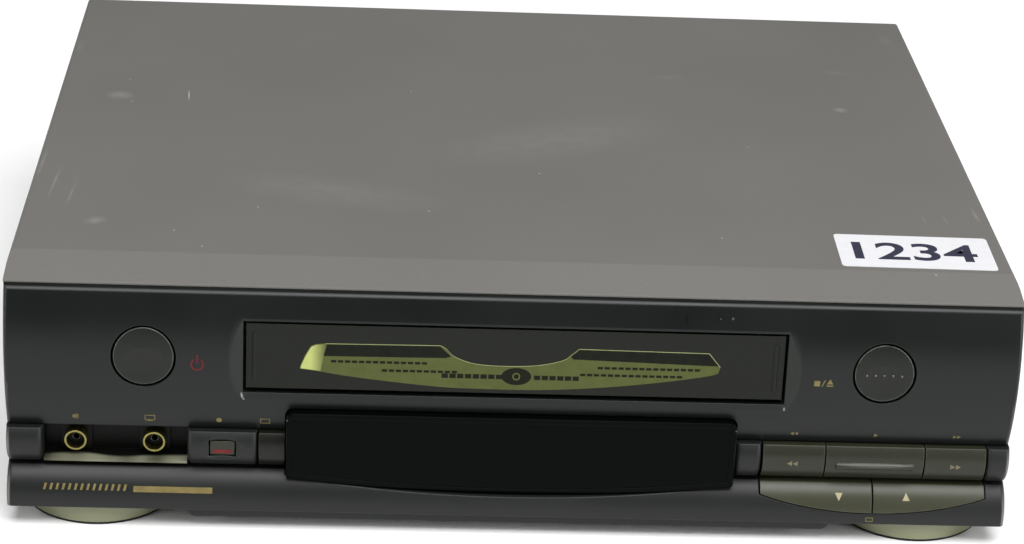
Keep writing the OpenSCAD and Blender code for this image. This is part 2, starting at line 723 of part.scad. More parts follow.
// Round buttons: a dished cap in a bore of the fascia, on a stem with a collar
module round_button() union() {
    difference() {
        intersection() {
            rod_y(0, -60, front_wall_back - 3, 0, round_cap_r);
            translate([0, 0, -round_z]) along_x(-20, 20) disc(fascia_cy, fascia_cz, fascia_r - 0.3);
            translate([0, fascia_y(round_z) + 28, 0]) sphere(30.4, $fn = 96);
        }
        translate([0, fascia_y(round_z) - 59.2, 0]) sphere(60, $fn = 96);
        rod_y(0, fascia_y(round_z) + 3.2, 0, 0, round_cap_r - 1.6);
    }
    rod_y(0, fascia_y(round_z) + 2.5, stem_end - round_travel - 0.1, 0, 2);
}
module power_button() color("#32332d") in_case() translate([-round_x, 0, round_z]) round_button();
module eject_button() color("#32332d") in_case() translate([round_x, 0, round_z]) round_button();

// Bar keys: a slice of the bar's own curve, with a square stem through the spine
module key_body(x0, x1) {
    difference() {
        along_x(x0, x1) bar_profile(0.1);
        along_x(x0 + 1.6, x1 - 1.6) intersection() {
            bar_profile(1.8);
            area(-60, 0, -20, z_top);
        }
        block([x0 - 1, spine_front - gap - key_travel, 0], [x1 + 1, 0, z_top]);
        block([x0 + 1.6, bar_cy - 1, bar_low + 1.8], [x1 - 1.6, 0, bar_top - 1.8]);
    }
    key_stem((x0 + x1) / 2, bar_cz, -bar_reach + 1);
}
module key_stem(x, z, y0) block([x - stem_w / 2, y0, z - stem_w / 2],
    [x + stem_w / 2, stem_end - key_travel - 0.1, z + stem_w / 2]);
module monitor_button() color("#55554a") in_case() key_body(bar_keys[0][0], bar_keys[0][1]);
module rewind_button() color("#55554a") in_case() key_body(bar_keys[1][0], bar_keys[1][1]);
module play_button() color("#55554a") in_case() {
    key_body(bar_keys[2][0], bar_keys[2][1]);
    intersection() {
        rod_x(bar_keys[2][0] + 4, bar_keys[2][1] - 4, -bar_reach + 0.4, bar_cz - 1, 1.4);
        block([bar_keys[2][0], -60, 0], [bar_keys[2][1], -bar_reach + 1.5, z_top]);
    }
}
module forward_button() color("#55554a") in_case() key_body(bar_keys[3][0], bar_keys[3][1]);

// The record key, a small block at the bottom of its scoop
module record_button() color("#6a3330") in_case() {
    along_y(-bar_reach + 1.6, spine_front - 1) record_outline(0);
    along_y(spine_front - 1.5, stem_end - key_travel - 0.1) area(record_key_x - stem_w / 2,
        record_key_z - stem_w / 2, record_key_x + stem_w / 2, record_key_z + stem_w / 2);
}

// Channel keys: two halves of one boat-shaped field on the lower bezel's bulge
module channel_key(x0, x1) {
    difference() {
        intersection() {
            along_x(x0, x1) union() {
                intersection() {
                    disc(base_cy, base_cz, base_r + channel_proud);
                    area(-60, 0, base_cy + 1, base_top);
                }
                area(base_cy, 0, base_cy + 3, base_top);
            }
            along_y(-60, 0) channel_outline(x0, x1, 0);
        }
        intersection() {
            along_x(x0 + 1.4, x1 - 1.4) disc(base_cy, base_cz, base_r - 1.4);
            along_y(-60, 0) intersection() {
                channel_outline(x0, x1, -1.6);
                area(x0, 0, x1, base_top - 1.5);
            }
        }
    }
}
channel_stem_z = base_top - 4.6;
module channel_stem(x) key_stem(x, channel_stem_z, base_cy - 10.2);
module channel_down_button() color("#55554a") in_case() {
    channel_key(channel_x0, channel_mid - key_gap / 2);
    channel_stem(channel_mid - channel_hw / 2);
}
module channel_up_button() color("#55554a") in_case() {
    channel_key(channel_mid + key_gap / 2, channel_x1);
    channel_stem(channel_mid + channel_hw / 2);
}

// Front sockets: two metal sleeves with centre contacts in one black holder with a pale floor
module jack_holder() color("#23231f") in_case() {
    difference() {
        union() {
            block([recess_x0 + gap, spine_front - 1.4, bar_low + 0.2], [record_x - gap, spine_front,
                bar_top - 0.2]);
            block([recess_x0 + gap, base_cy - 8.6, bar_low + 0.2], [record_x - gap, spine_front - 1,
                bar_low + 1.2]);
            for (x = jack_x) block([x - 5.8, spine_front - 2.8, jack_z - 5.8], [x + 5.8, board_y,
                jack_z + 5.8]);
        }
        for (x = jack_x) rod_y(x, -60, board_y - 2, jack_z, phono_d / 2 + run);
    }
    for (x = jack_x) difference() {
        rod_y(x, spine_front - 4, board_y - 1, jack_z, phono_d / 2 - 0.8);
        rod_y(x, -60, board_y - 2, jack_z, 1.6);
    }
}
module phono_socket(x, z, y0, y1) {
    difference() {
        rod_y(x, y0, y1, z, phono_d / 2);
        rod_y(x, y0 - 1, y1 + 1, z, phono_d / 2 - 0.7);
    }
}
module front_socket(x) phono_socket(x, jack_z, spine_front - 7.4, board_y - 2.1);
module audio_jack() color("#96964a") in_case() front_socket(jack_x[0]);
module video_jack() color("#96964a") in_case() front_socket(jack_x[1]);

// Front feet: a ribbed cup, a pale ring round it and a pad under it
foot_cup_r = foot_d / 2 - ring_t - run;
module front_foot() difference() {
    union() {
        rod_z(0, 0, pad_t, z_case, foot_cup_r);
        rod_z(0, 0, z_case - 0.5, z_case, foot_d / 2 - 0.1);
    }
    difference() {
        rod_z(0, 0, pad_t + 2, z_case + 1, foot_cup_r - 2);
        rod_z(0, 0, pad_t, z_case + 1, 5);
        for (a = [0:60:120]) rotate([0, 0, a]) block([1 - foot_cup_r, -0.8, pad_t], [foot_cup_r - 1, 0.8, z_case - 0.7]);
    }
    rod_z(0, 0, 0, z_case + 1, screw_r + run);
    rod_z(0, 0, 0, pad_t + 3, 3.2);
}
module front_left_foot() color("#1c1c1a") in_case() translate([-foot_x, foot_y, 0]) front_foot();
module front_right_foot() color("#1c1c1a") in_case() translate([foot_x, foot_y, 0]) front_foot();
module foot_rings() color("#8f926e") in_case() for (x = [-foot_x, foot_x]) translate([x, foot_y, 0])
    difference() {
        rod_z(0, 0, pad_t, z_case - 0.5, foot_d / 2);
        rod_z(0, 0, 0, z_case, foot_cup_r + run);
    }
module foot_pads() color("#121212") in_case() for (x = [-foot_x, foot_x]) translate([x, foot_y, 0])
    difference() {
        rod_z(0, 0, 0, pad_t, foot_d / 2 - 0.4);
        rod_z(0, 0, -1, pad_t + 1, 8);
    }
module rear_foot() difference() {
    union() {
        rod_z(0, 0, 0, z_case, rear_foot_d / 2 - 1);
        rod_z(0, 0, 2, z_case, rear_foot_d / 2);
    }
    rod_z(0, 0, -1, z_case + 1, screw_r + run);
    rod_z(0, 0, -1, 4, 4.4);
}
module rear_left_foot() color("#161616") in_case() translate([-rear_foot_x, rear_foot_y, 0]) rear_foot();
module rear_right_foot() color("#161616") in_case() translate([rear_foot_x, rear_foot_y, 0]) rear_foot();

// Screws of the cover, of the rear lip and of the feet
module screw(head_r, length) {
    difference() {
        cylinder(r = head_r, h = 1.6);
        for (a = [0, 90]) rotate([0, 0, a]) translate([-head_r * 0.6, -0.35, 0.9]) cube([head_r * 1.2, 0.7, 1]);
    }
    translate([0, 0, -length]) cylinder(r = screw_r - 0.1, h = length + 0.1);
}
module case_screws() color("#3a3a38") in_case() {
    mirrored() for (y = screw_side_y) translate([half_w, y, screw_side_z]) rotate([0, 90, 0]) screw(3.2, 6);
    for (x = screw_rear_x) translate([x, body_d, screw_rear_z]) rotate([-90, 0, 0]) screw(3.2, 6);
    for (x = [-foot_x, foot_x]) translate([x, foot_y, pad_t + 3]) rotate([180, 0, 0]) screw(2.8, z_case - 2);
    for (x = [-rear_foot_x, rear_foot_x]) translate([x, rear_foot_y, 4]) rotate([180, 0, 0])
        screw(2.8, z_case - 2);
}

// The front circuit board, with an ear behind each round button
board_top = bar_top + 9.4;
board_low = z_case + panel_t + gap;
module front_board() color("#4f6b3a") in_case() difference() {
    union() {
        block([-front_half + 8, board_y, board_low], [front_half - 4, board_y + board_t, board_top]);
        for (x = [-round_x, round_x]) block([x - 12, board_y, board_top - 1], [x + 12, board_y + board_t,
            round_z + 14]);
        for (i = [0:5]) block([window_mid - 60 + i * 22, board_y + board_t - 0.1, bar_low + 4],
            [window_mid - 48 + i * 22, board_y + board_t + 2.4, bar_low + 10]);
    }
    for (x = [record_x + record_block_w - 6, middle([window_x1, filler_x1]), front_half - right_end_w / 2])
        rod_y(x, board_y - 1, board_y + 3, bar_cz, 1.2);
}

// The fluorescent display: a glass box with its row of pins
tube_w = 92;
module display_tube() color("#3a5a52") in_case() {
    block([window_mid - tube_w / 2, board_y - 11, bar_low + 2], [window_mid + tube_w / 2, board_y - 4,
        bar_top + 5]);
    for (i = [0:14]) block([window_mid - 42.4 + i * 6, board_y - 6, bar_low + 3], [window_mid - 41.6 + i * 6,
        board_y, bar_low + 3.8]);
}

// A key switch behind every button
switch_places = concat([for (k = bar_keys) [middle(k), bar_cz]], [[record_key_x, record_key_z],
    [channel_mid - channel_hw / 2, channel_stem_z], [channel_mid + channel_hw / 2, channel_stem_z],
    [-round_x, round_z], [round_x, round_z]]);
module tact_switches() color("#222222") in_case() for (p = switch_places) {
    block([p[0] - 3, switch_face, p[1] - 3], [p[0] + 3, board_y, p[1] + 3]);
    rod_y(p[0], stem_end, switch_face, p[1], 1.7);
}

// The mechanism's plate with its studs, tracks and cut-outs
module guide_track(side) translate([side * guide_x, guide_y, deck_low - 1]) intersection() {
    difference() {
        cylinder(r = guide_arm + track_w / 2, h = deck_t + 2);
        translate([0, 0, -1]) cylinder(r = guide_arm - track_w / 2, h = deck_t + 4);
    }
    mirror([side > 0 ? 0 : 1, 0, 0]) linear_extrude(deck_t + 2) polygon([[0, 0],
        80 * [cos(guide_rest - 180 - 4), sin(guide_rest - 180 - 4)], [90, -20], [90, 40],
        80 * [cos(guide_rest - 180 + guide_swing + 4), sin(guide_rest - 180 + guide_swing + 4)]]);
}
bridge = loading_r + 9;
module stud_down(x, y, z) {
    rod_z(x, y, z, deck_low, stud_r);
    rod_z(x, y, z - 0.9, z, stud_r + 1);
}
module stud_up(x, y, z, r) rod_z(x, y, deck_top, z, r);
module deck_plate() color("#a8a8a4") in_case() {
    difference() {
        block([-deck_x, deck_y0, deck_low], [deck_x, deck_y1, deck_top]);
        for (s = [-1, 1]) guide_track(s);
        rod_z(capstan_x, capstan_y, deck_low - 1, deck_top + 1, 4.6 + run);
        mirrored() for (y = post_y) rod_z(post_x, y, deck_low - 1, deck_top + 1, screw_r);
        rod_z(pinion_x, pinion_y, deck_low - 1, deck_top + 1, 3);
        rod_z(0, drum_y, deck_low - 1, deck_top + 1, 9);
    }
    for (s = [-1, 1]) stud_down(s * guide_x, guide_y, gear_lo - 0.3);
    rod_z(loading_x, guide_y, gear_lo - 0.4, gear_hi, stud_r);
    block([loading_x - 4, guide_y - bridge, gear_lo - 1.8], [loading_x + 4, guide_y + bridge, gear_lo - 0.3]);
    for (s = [-1, 1]) rod_z(loading_x, guide_y + s * (bridge - 3), gear_lo - 0.4, deck_low, 2.5);
    stud_down(0, idler_y, belt_lo - 0.3);
    for (x = [-hub_x, hub_x]) stud_up(x, hub_y, spindle_top - 1, 1.5);
    stud_up(0, idler_y, reel_z + 4, 1.5);
    stud_up(pinch_x, pinch_y, seat_z + 12, 1.5);
}

// The two side brackets, each a plate with a foot and a long slot for the slider's pins
module side_brackets() color("#9a9a98") in_case() mirrored() difference() {
    union() {
        block([bracket_in, deck_y0 + 2, deck_top], [bracket_out, seat_back - 20, slider_pin_z + 6]);
        block([bracket_in, deck_y0 + 2, deck_top], [bracket_out + 6, seat_back - 20, deck_top + 1.2]);
    }
    block([bracket_in - 1, pin_y[0] - pin_r - slot_gap, slider_pin_z - pin_r - slot_gap],
        [bracket_out + 1, pin_y[1] + feed_travel + pin_r + slot_gap, slider_pin_z + pin_r + slot_gap]);
    for (y = [deck_y0 + 14:34:seat_back - 56]) block([bracket_in - 1, y, deck_top + 8],
        [bracket_out + 1, y + 24, slider_pin_z - 8]);
}

// The slider: two side plates joined over the basket, with upright slots that let the basket drop
module basket_slider() color("#b5b5b0") in_case() {
    mirrored() {
        difference() {
            block([slider_in, pin_y[0] - 8, slider_low], [slider_out, pin_y[1] + 8, slider_top]);
            for (y = pin_y) block([slider_in - 1, y - pin_r - slot_gap, basket_pin_z - drop - pin_r - slot_gap],
                [slider_out + 1, y + pin_r + slot_gap, basket_pin_z + pin_r + slot_gap]);
            block([slider_in - 1, pin_y[0] + 8, slider_low + 8], [slider_out + 1, pin_y[1] - 8,
                slider_top - 10]);
        }
        for (y = pin_y) rod_x(slider_out - 0.1, bracket_out + 0.6, y, slider_pin_z, pin_r);
    }
    for (y = [pin_y[0] - 2, pin_y[1] - 2]) block([-slider_out, y, brace_z], [slider_out, y + 8, brace_z + 1.4]);
}

// The basket that holds the cassette: ledges, sides, a sprung roof and end stops
module cassette_basket() color("#c2c2bc") in_case() {
    difference() {
        block([-basket_out, basket_y0, load_z - ledge_t], [basket_out, basket_y1, basket_top + plate_t]);
        block([-basket_in, basket_y0 - 1, load_z], [basket_in, basket_y1 + 1, basket_top]);
        block([-basket_in + 18, basket_y0 - 1, load_z - ledge_t - 1], [basket_in - 18, basket_y1 + 1,
            load_z + 1]);
        for (x = [-70, -24, 22]) block([x, basket_y0 + 12, basket_top - 1], [x + 48 - 2, basket_y1 - 14,
            basket_top + plate_t + 1]);
        mirrored() block([basket_in - 1, basket_y0 + 26, load_z + 4], [basket_out + 1, basket_y0 + 50,
            basket_top - 12]);
    }
    mirrored() {
        for (y = pin_y) rod_x(basket_out - 0.1, slider_out, y, basket_pin_z, pin_r);
        block([basket_in - 12, stop_y, load_z - 0.1], [basket_in + 0.1, basket_y1, load_z + 10]);
    }
    for (x = [-50, 42]) block([x, basket_y0 + 11, basket_top - 0.9], [x + 8, basket_y1 - 30,
        basket_top - 0.1]);
    for (x = [-50, 42]) block([x, basket_y0 + 8, basket_top - 0.9], [x + 8, basket_y0 + 12.5,
        basket_top + 0.1]);
}

// Reel tables: a toothed rim, a disc and a finned spindle that turns the cassette's hub
module reel(x, y) difference() {
    union() {
        translate([x, y, reel_z]) linear_extrude(2.4) circle(reel_r);
        rod_z(x, y, reel_z, reel_z + 3.2, 12);
        rod_z(x, y, reel_z, spindle_top - 2, 6.5);
        rod_z(x, y, spindle_top - 2.5, spindle_top, 5);
        for (a = [0:60:300]) translate([x, y, reel_z]) rotate([0, 0, a])
            block([0, -0.8, 2], [9, 0.8, spindle_top - reel_z - 3.5]);
    }
    rod_z(x, y, reel_z - 1, spindle_top - 0.6, 1.5 + run);
    rod_z(x, y, reel_z - 1, reel_z + 1, 4);
}
module supply_reel() color("#2b2b2b") in_case() reel(-hub_x, hub_y);
module take_up_reel() color("#2b2b2b") in_case() reel(hub_x, hub_y);

// The idler: a swinging arm whose wheel leans on either reel table
idler_wheel_y = idler_y + idler_l;
module idler_arm() color("#d8d4c4") in_case() {
    difference() {
        union() {
            rod_z(0, idler_y, deck_top + 0.3, deck_top + 3.4, 5);
            block([-3, idler_y + 3, deck_top + 0.4], [3, idler_wheel_y - 1, deck_top + 1.4]);
            rod_z(0, idler_wheel_y, deck_top + 0.3, deck_top + 1.5, 4);
        }
        rod_z(0, idler_y, deck_top - 1, deck_top + 6, 1.5 + run);
    }
    rod_z(0, idler_wheel_y, deck_top + 1.4, deck_top + 5, 1.5);
}
module idler_wheel() color("#1e1e1e") in_case() difference() {
    union() {
        rod_z(0, idler_wheel_y, deck_top + 1.8, deck_top + 4.2, idler_r - 2);
        rod_z(0, idler_wheel_y, deck_top + 2.1, deck_top + 3.6, idler_r);
    }
    rod_z(0, idler_wheel_y, deck_top, deck_top + 6, 1.5 + run);
    for (a = [0:60:300]) translate([0, idler_wheel_y, deck_top]) rotate([0, 0, a])
        translate([9, 0, 0]) cylinder(r = 2.6, h = 6);
}

// The pulley under the plate and the belt that drives it from the capstan
module pulley(x, y, r, bore) difference() {
    union() {
        rod_z(x, y, belt_lo, belt_hi, r);
        rod_z(x, y, belt_lo, belt_lo + 0.5, r + 1.2);
        rod_z(x, y, belt_hi - 0.5, belt_hi, r + 1.2);
    }
    if (bore > 0) rod_z(x, y, belt_lo - 1, belt_hi + 1, bore);
}
module drive_pulley() color("#d8d4c4") in_case() difference() {
    union() {
        pulley(0, idler_y, pulley_big, 0);
        rod_z(0, idler_y, belt_lo, deck_low - 0.3, 5);
    }
    rod_z(0, idler_y, belt_lo - 1, deck_low, stud_r + run);
}
belt_t = 0.6;
module belt_loop(grow) hull() {
    translate([capstan_x, capstan_y]) circle(pulley_small + grow, $fn = 32);
    translate([0, idler_y]) circle(pulley_big + grow, $fn = 32);
}
module drive_belt() color("#151515") in_case() translate([0, 0, belt_lo + 0.6])
    linear_extrude(belt_hi - belt_lo - 1.2) difference() { belt_loop(0.1 + belt_t); belt_loop(0.1); }

// The head drum: a fixed lower half with its tape step, and the spinning upper half
lower_h = 20;
upper_h = 15;
drum_up = 3.7;
module on_drum() translate([0, drum_y, deck_top + drum_up]) rotate([drum_tilt, 0, 0]) children();
module lower_drum() color("#c9cbcc") in_case() {
    on_drum() difference() {
        union() {
            cylinder(r = drum_r, h = lower_h);
            translate([0, 0, -0.5]) cylinder(r = drum_r - 6, h = 2);
            cylinder(r = 1.6, h = lower_h + upper_h + 4);
        }
        translate([0, 0, 12]) difference() {
            cylinder(r = drum_r + 1, h = lower_h);
            translate([0, 0, -1]) cylinder(r = drum_r - 0.4, h = lower_h + 2);
        }
        translate([0, 0, lower_h - 5]) difference() {
            cylinder(r = drum_r - 5, h = 6);
            translate([0, 0, -1]) cylinder(r = 9, h = 8);
        }
    }
    difference() {
        rod_z(0, drum_y, deck_top, deck_top + drum_up + 0.2, drum_r + 5);
        on_drum() translate([0, 0, 0.2]) cylinder(r = drum_r + 8, h = 20);
    }
}
module upper_drum() color("#dcdedf") in_case() on_drum() translate([0, 0, lower_h + 0.3]) difference() {
    union() {
        cylinder(r = drum_r - 0.4, h = upper_h);
        translate([0, 0, upper_h - 0.1]) cylinder(r = 12, h = 3);
    }
    translate([0, 0, -1]) cylinder(r = 1.6 + run, h = upper_h + 6);
    translate([0, 0, upper_h - 1.5]) difference() {
        cylinder(r = drum_r - 4, h = 2);
        translate([0, 0, -1]) cylinder(r = 13, h = 4);
    }
    for (a = [0:60:300]) rotate([0, 0, a]) translate([20, 0, -1]) cylinder(r = 2, h = upper_h + 2);
    for (a = [0, 90, 180, 270]) rotate([0, 0, a]) translate([drum_r - 2.4, -1.5, -1]) cube([3, 3, 2.2]);
}

// The capstan: shaft, belt pulley and rotor disc in one, and its fixed stator with posts and bearing
capstan_top = seat_z + cassette_t;
module capstan() color("#bfc1c3") in_case() {
    rod_z(capstan_x, capstan_y, rotor_lo, capstan_top, capstan_r);
    difference() {
        union() {
            rod_z(capstan_x, capstan_y, rotor_lo, rotor_hi, rotor_r);
            pulley(capstan_x, capstan_y, pulley_small, 0);
            rod_z(capstan_x, capstan_y, rotor_hi - 0.1, belt_lo + 0.1, pulley_small);
        }
        for (a = [30:60:330]) translate([capstan_x, capstan_y, rotor_lo - 1]) rotate([0, 0, a])
            translate([rotor_r * 0.6, 0, 0]) cylinder(r = 4, h = rotor_hi - rotor_lo + 2);
    }
}
module capstan_motor() color("#3f5c46") in_case() {
    difference() {
        rod_z(capstan_x, capstan_y, stator_lo, stator_hi, rotor_r + 8);
        rod_z(capstan_x, capstan_y, stator_lo - 1, stator_hi + 1, capstan_r + 1);
    }
    for (a = [20, 100, 300]) translate([capstan_x + (rotor_r + 5) * cos(a), capstan_y + (rotor_r + 5) * sin(a),
        stator_hi - 0.1]) cylinder(r = 2, h = deck_low - stator_hi + 0.1);
    difference() {
        union() {
            rod_z(capstan_x, capstan_y, belt_hi + 0.4, seat_z + 3.4, 4.6);
            rod_z(capstan_x, capstan_y, deck_top, deck_top + 0.8, 7);
        }
        rod_z(capstan_x, capstan_y, 0, z_top, capstan_r + run);
    }
}

// The pinch roller on its arm, swung away from the capstan at rest
module on_pinch() translate([pinch_x, pinch_y, 0]) rotate([0, 0, pinch_rest]) children();
pinch_lo = seat_z + 4;
module pinch_arm() color("#b0b0ac") in_case() on_pinch() {
    difference() {
        union() {
            rod_z(0, 0, deck_top + 1, pinch_lo + 6, 4);
            block([2.8, -2.8, deck_top + 1.1], [pinch_arm_l - 1, 2.8, deck_top + 2.5]);
            rod_z(pinch_arm_l, 0, deck_top + 1, deck_top + 2.6, 3.6);
        }
        rod_z(0, 0, 0, z_top, 1.5 + run);
    }
    rod_z(pinch_arm_l, 0, deck_top + 2.5, pinch_lo + 17, 1.5);
}
module pinch_roller() color("#1a1a1a") in_case() on_pinch() difference() {
    union() {
        rod_z(pinch_arm_l, 0, pinch_lo, pinch_lo + 15, pinch_r);
        rod_z(pinch_arm_l, 0, pinch_lo - 0.6, pinch_lo + 15.6, 3.4);
    }
    rod_z(pinch_arm_l, 0, 0, z_top, 1.5 + run);
}

// Tape guides: a toothed arm under the plate carries a roller and a slanted post round the drum
module guide(side, phase) translate([side * guide_x, guide_y, 0]) mirror([side > 0 ? 0 : 1, 0, 0]) {
    a = guide_rest - 180;
    difference() {
        union() {
            translate([0, 0, gear_lo]) linear_extrude(gear_hi - gear_lo) gear_shape(gear_teeth, phase);
            rod_z(0, 0, gear_hi - 0.5, arm_hi + 0.6, 6);
            rotate([0, 0, a]) block([4, -3, arm_lo], [guide_arm - 2, 3, arm_hi]);
            rotate([0, 0, a]) rod_z(guide_arm, 0, arm_lo - 0.1, arm_hi + 0.2, 4.5);
        }
        rod_z(0, 0, 0, z_top, stud_r + run);
    }
    rotate([0, 0, a]) {
        rod_z(guide_arm, 0, arm_hi, deck_top + 0.5, stud_r);
        rod_z(guide_arm, 0, deck_top + 0.4, deck_top + 3.4, 5);
        rod_z(guide_arm, 0, deck_top + 3.3, seat_z + 17, 1.2);
        rod_z(guide_arm, 0, seat_z + 2, seat_z + 14.5, guide_post_r);
        rod_z(guide_arm, 0, seat_z + 1, seat_z + 2.2, guide_post_r + 1);
        rod_z(guide_arm, 0, seat_z + 14.4, seat_z + 15.6, guide_post_r + 1);
    }
}
module supply_guide() color("#cfcfc8") in_case() guide(-1, 180);
module take_up_guide() color("#cfcfc8") in_case() guide(1, 9);

// Loading drive: the big gear that turns both guides, its motor and the motor's pinion
module loading_gear() color("#e2dcc8") in_case() difference() {
    gear(loading_x, guide_y, gear_lo, gear_hi, loading_teeth, 180 / loading_teeth, stud_r + run);
    for (a = [0:60:300]) translate([loading_x, guide_y, gear_lo - 1]) rotate([0, 0, a])
        translate([loading_r * 0.55, 0, 0]) cylinder(r = 3.4, h = 6);
}
module motor_pinion() color("#c9a95a") in_case() {
    gear(pinion_x, pinion_y, gear_lo, gear_hi, pinion_teeth, pinion_at + 180, 1 + run);
    difference() {
        rod_z(pinion_x, pinion_y, gear_hi - 0.1, deck_low - 0.4, 2);
        rod_z(pinion_x, pinion_y, gear_lo, deck_low, 1 + run);
    }
}
module loading_motor() color("#8d8f91") in_case() {
    rod_z(pinion_x, pinion_y, deck_top, deck_top + 22, 11);
    rod_z(pinion_x, pinion_y, deck_top + 21.9, deck_top + 23.5, 4);
    rod_z(pinion_x, pinion_y, gear_lo - 0.4, deck_top + 0.1, 1);
}

// The fixed heads beside the tape path
module fixed_head(x, y, z0, w, h) {
    block([x - w / 2 - 3, y - 4, deck_top], [x + w / 2 + 3, y + 5, deck_top + 1.6]);
    rod_z(x, y, deck_top, z0 + 0.1, 2.4);
    block([x - w / 2, y - 4, z0], [x + w / 2, y + 4, z0 + h]);
}
module erase_head() color("#b9bcc0") in_case() fixed_head(-capstan_x, capstan_y, seat_z + 3, 9, 14);
module sound_head() color("#b9bcc0") in_case() fixed_head(58, drum_y + 14, seat_z + 2, 12, 18);

// The main board in the right bay, with its chips and cans
module main_board() color("#4a7040") in_case() {
    block([main_x0, main_y0, board_z], [main_x1, main_y1, board_z + board_t]);
    for (i = [0:3]) for (j = [0:1]) block([main_x0 + 10 + j * 28, main_y0 + 16 + i * 30, board_z + board_t - 0.1],
        [main_x0 + 24 + j * 28, main_y0 + 36 + i * 30, board_z + board_t + 3.4]);
    for (i = [0:4]) rod_z(main_x0 + 6, main_y0 + 20 + i * 24, board_z + board_t - 0.1, board_z + 14, 3);
}
module tuner_box() color("#b8babb") in_case() {
    block([aerial_x - tuner_w / 2, tuner_y0, board_z + board_t], [aerial_x + tuner_w / 2, rear_y - gap,
        board_z + tuner_h]);
    for (z = aerial_z) difference() {
        rod_y(aerial_x, rear_y - gap - 0.1, rear_y + rear_t + aerial_len, z, aerial_d / 2);
        rod_y(aerial_x, rear_y + rear_t + 1, rear_y + rear_t + aerial_len + 1, z, 2.4);
    }
}

// Rear phono sockets on one block
module rear_jacks() color("#b7b7b2") in_case() {
    block([phono_x[0] - 8, rear_y - 14, phono_z[0] - 8], [phono_x[2] + 8, rear_y - gap, phono_z[1] + 8]);
    for (x = phono_x) for (z = phono_z) {
        phono_socket(x, z, rear_y - gap - 0.1, rear_y + rear_t + phono_len);
        difference() {
            rod_y(x, rear_y - gap - 0.1, rear_y + rear_t + phono_len - 2, z, phono_d / 2 - 1.1);
            rod_y(x, rear_y + rear_t, rear_y + rear_t + phono_len, z, 1.6);
        }
    }
}

// The power supply: board with capacitors, heat sink and chips, its transformer and the mains inlet
module power_board() color("#a8824a") in_case() {
    block([power_x0, power_y0, board_z], [power_x1, power_y1, board_z + board_t]);
    for (i = [0:2]) rod_z(power_x0 + 14, power_y0 + 16 + i * 22, board_z + board_t - 0.1, board_z + 26, 8);
    for (i = [0:5]) block([power_x1 - 16, power_y0 + 12 + i * 5, board_z + board_t - 0.1], [power_x1 - 4,
        power_y0 + 13.4 + i * 5, board_z + 34]);
    block([power_x1 - 11.4, power_y0 + 12, board_z + board_t - 0.1], [power_x1 - 8.6, power_y0 + 38,
        board_z + 34]);
}
transformer_x = power_x0 + 8;
transformer_y = power_y0 + 86;
core_w = 38;
core_h = 30;
core_leg = 12;
module transformer() color("#5c5248") in_case() {
    for (y = [transformer_y, transformer_y + core_w - core_leg]) block([transformer_x, y, board_z + board_t],
        [transformer_x + core_w, y + core_leg, board_z + core_h]);
    block([transformer_x + core_leg / 2, transformer_y - 2, board_z + board_t + 4],
        [transformer_x + core_w - core_leg / 2, transformer_y + core_w + 2, board_z + core_h - 4]);
}
module mains_inlet() color("#1a1a1a") in_case() {
    difference() {
        union() {
            block([inlet_x - inlet_w / 2, rear_y - 16, inlet_z - inlet_h / 2], [inlet_x + inlet_w / 2,
                rear_y + rear_t + 0.6, inlet_z + inlet_h / 2]);
            block([inlet_x - inlet_w / 2 - 2, rear_y - 2 - gap, inlet_z - inlet_h / 2 - 2],
                [inlet_x + inlet_w / 2 + 2, rear_y - gap, inlet_z + inlet_h / 2 + 2]);
        }
        along_y(rear_y - 13.2, rear_y + 8) translate([inlet_x, inlet_z]) polygon([for (q = [[1, 1], [-1, 1],
            [-1, -1], [1, -1]]) for (k = q[0] == q[1] ? [0, 1] : [1, 0])
                [q[0] * (mouth_w - k * mouth_cut), q[1] * (mouth_h - (1 - k) * mouth_cut)]]);
    }
    for (s = [-1, 1]) rod_y(inlet_x + s * 4.3, rear_y - 13.3, rear_y - 3, inlet_z, 1.2);
}

top_cover();
bottom_pan();
rear_panel();
upper_fascia();
control_bar();
lower_bezel();
display_window();
cassette_flap();
flap_spring();
power_button();
eject_button();
record_button();
monitor_button();
rewind_button();
play_button();
forward_button();
channel_down_button();
channel_up_button();
jack_holder();
video_jack();
audio_jack();
front_left_foot();
front_right_foot();
rear_left_foot();
rear_right_foot();
foot_rings();
foot_pads();
case_screws();
front_board();
display_tube();
tact_switches();
deck_plate();
side_brackets();
basket_slider();
cassette_basket();
supply_reel();
take_up_reel();
idler_arm();
idler_wheel();
drive_pulley();
drive_belt();
lower_drum();
upper_drum();
capstan();
capstan_motor();
pinch_arm();
pinch_roller();
supply_guide();
take_up_guide();
loading_gear();
loading_motor();
motor_pinion();
erase_head();
sound_head();
main_board();
tuner_box();
rear_jacks();
power_board();
transformer();
mains_inlet();
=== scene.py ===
import math

import bmesh
import bpy
from mathutils import Matrix, Vector


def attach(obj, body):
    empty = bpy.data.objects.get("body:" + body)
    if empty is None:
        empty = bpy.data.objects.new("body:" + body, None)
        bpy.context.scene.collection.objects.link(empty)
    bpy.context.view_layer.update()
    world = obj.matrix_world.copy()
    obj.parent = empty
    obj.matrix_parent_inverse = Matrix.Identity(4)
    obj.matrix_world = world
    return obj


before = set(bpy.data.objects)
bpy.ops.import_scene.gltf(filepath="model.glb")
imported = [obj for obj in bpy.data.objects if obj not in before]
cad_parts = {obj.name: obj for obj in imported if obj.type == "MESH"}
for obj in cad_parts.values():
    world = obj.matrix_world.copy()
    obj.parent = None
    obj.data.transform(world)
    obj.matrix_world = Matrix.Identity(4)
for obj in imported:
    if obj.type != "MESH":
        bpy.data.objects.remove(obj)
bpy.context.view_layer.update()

# Top cover: one folded steel sheet, sprayed with a warm grey paint that holds fine grains.
# It slides over the pan from behind and is screwed at its sides and rear. Years on a shelf
# left rubbed smudges, a scratch, pale streaks near its long edges and a few specks.
MM = 0.001
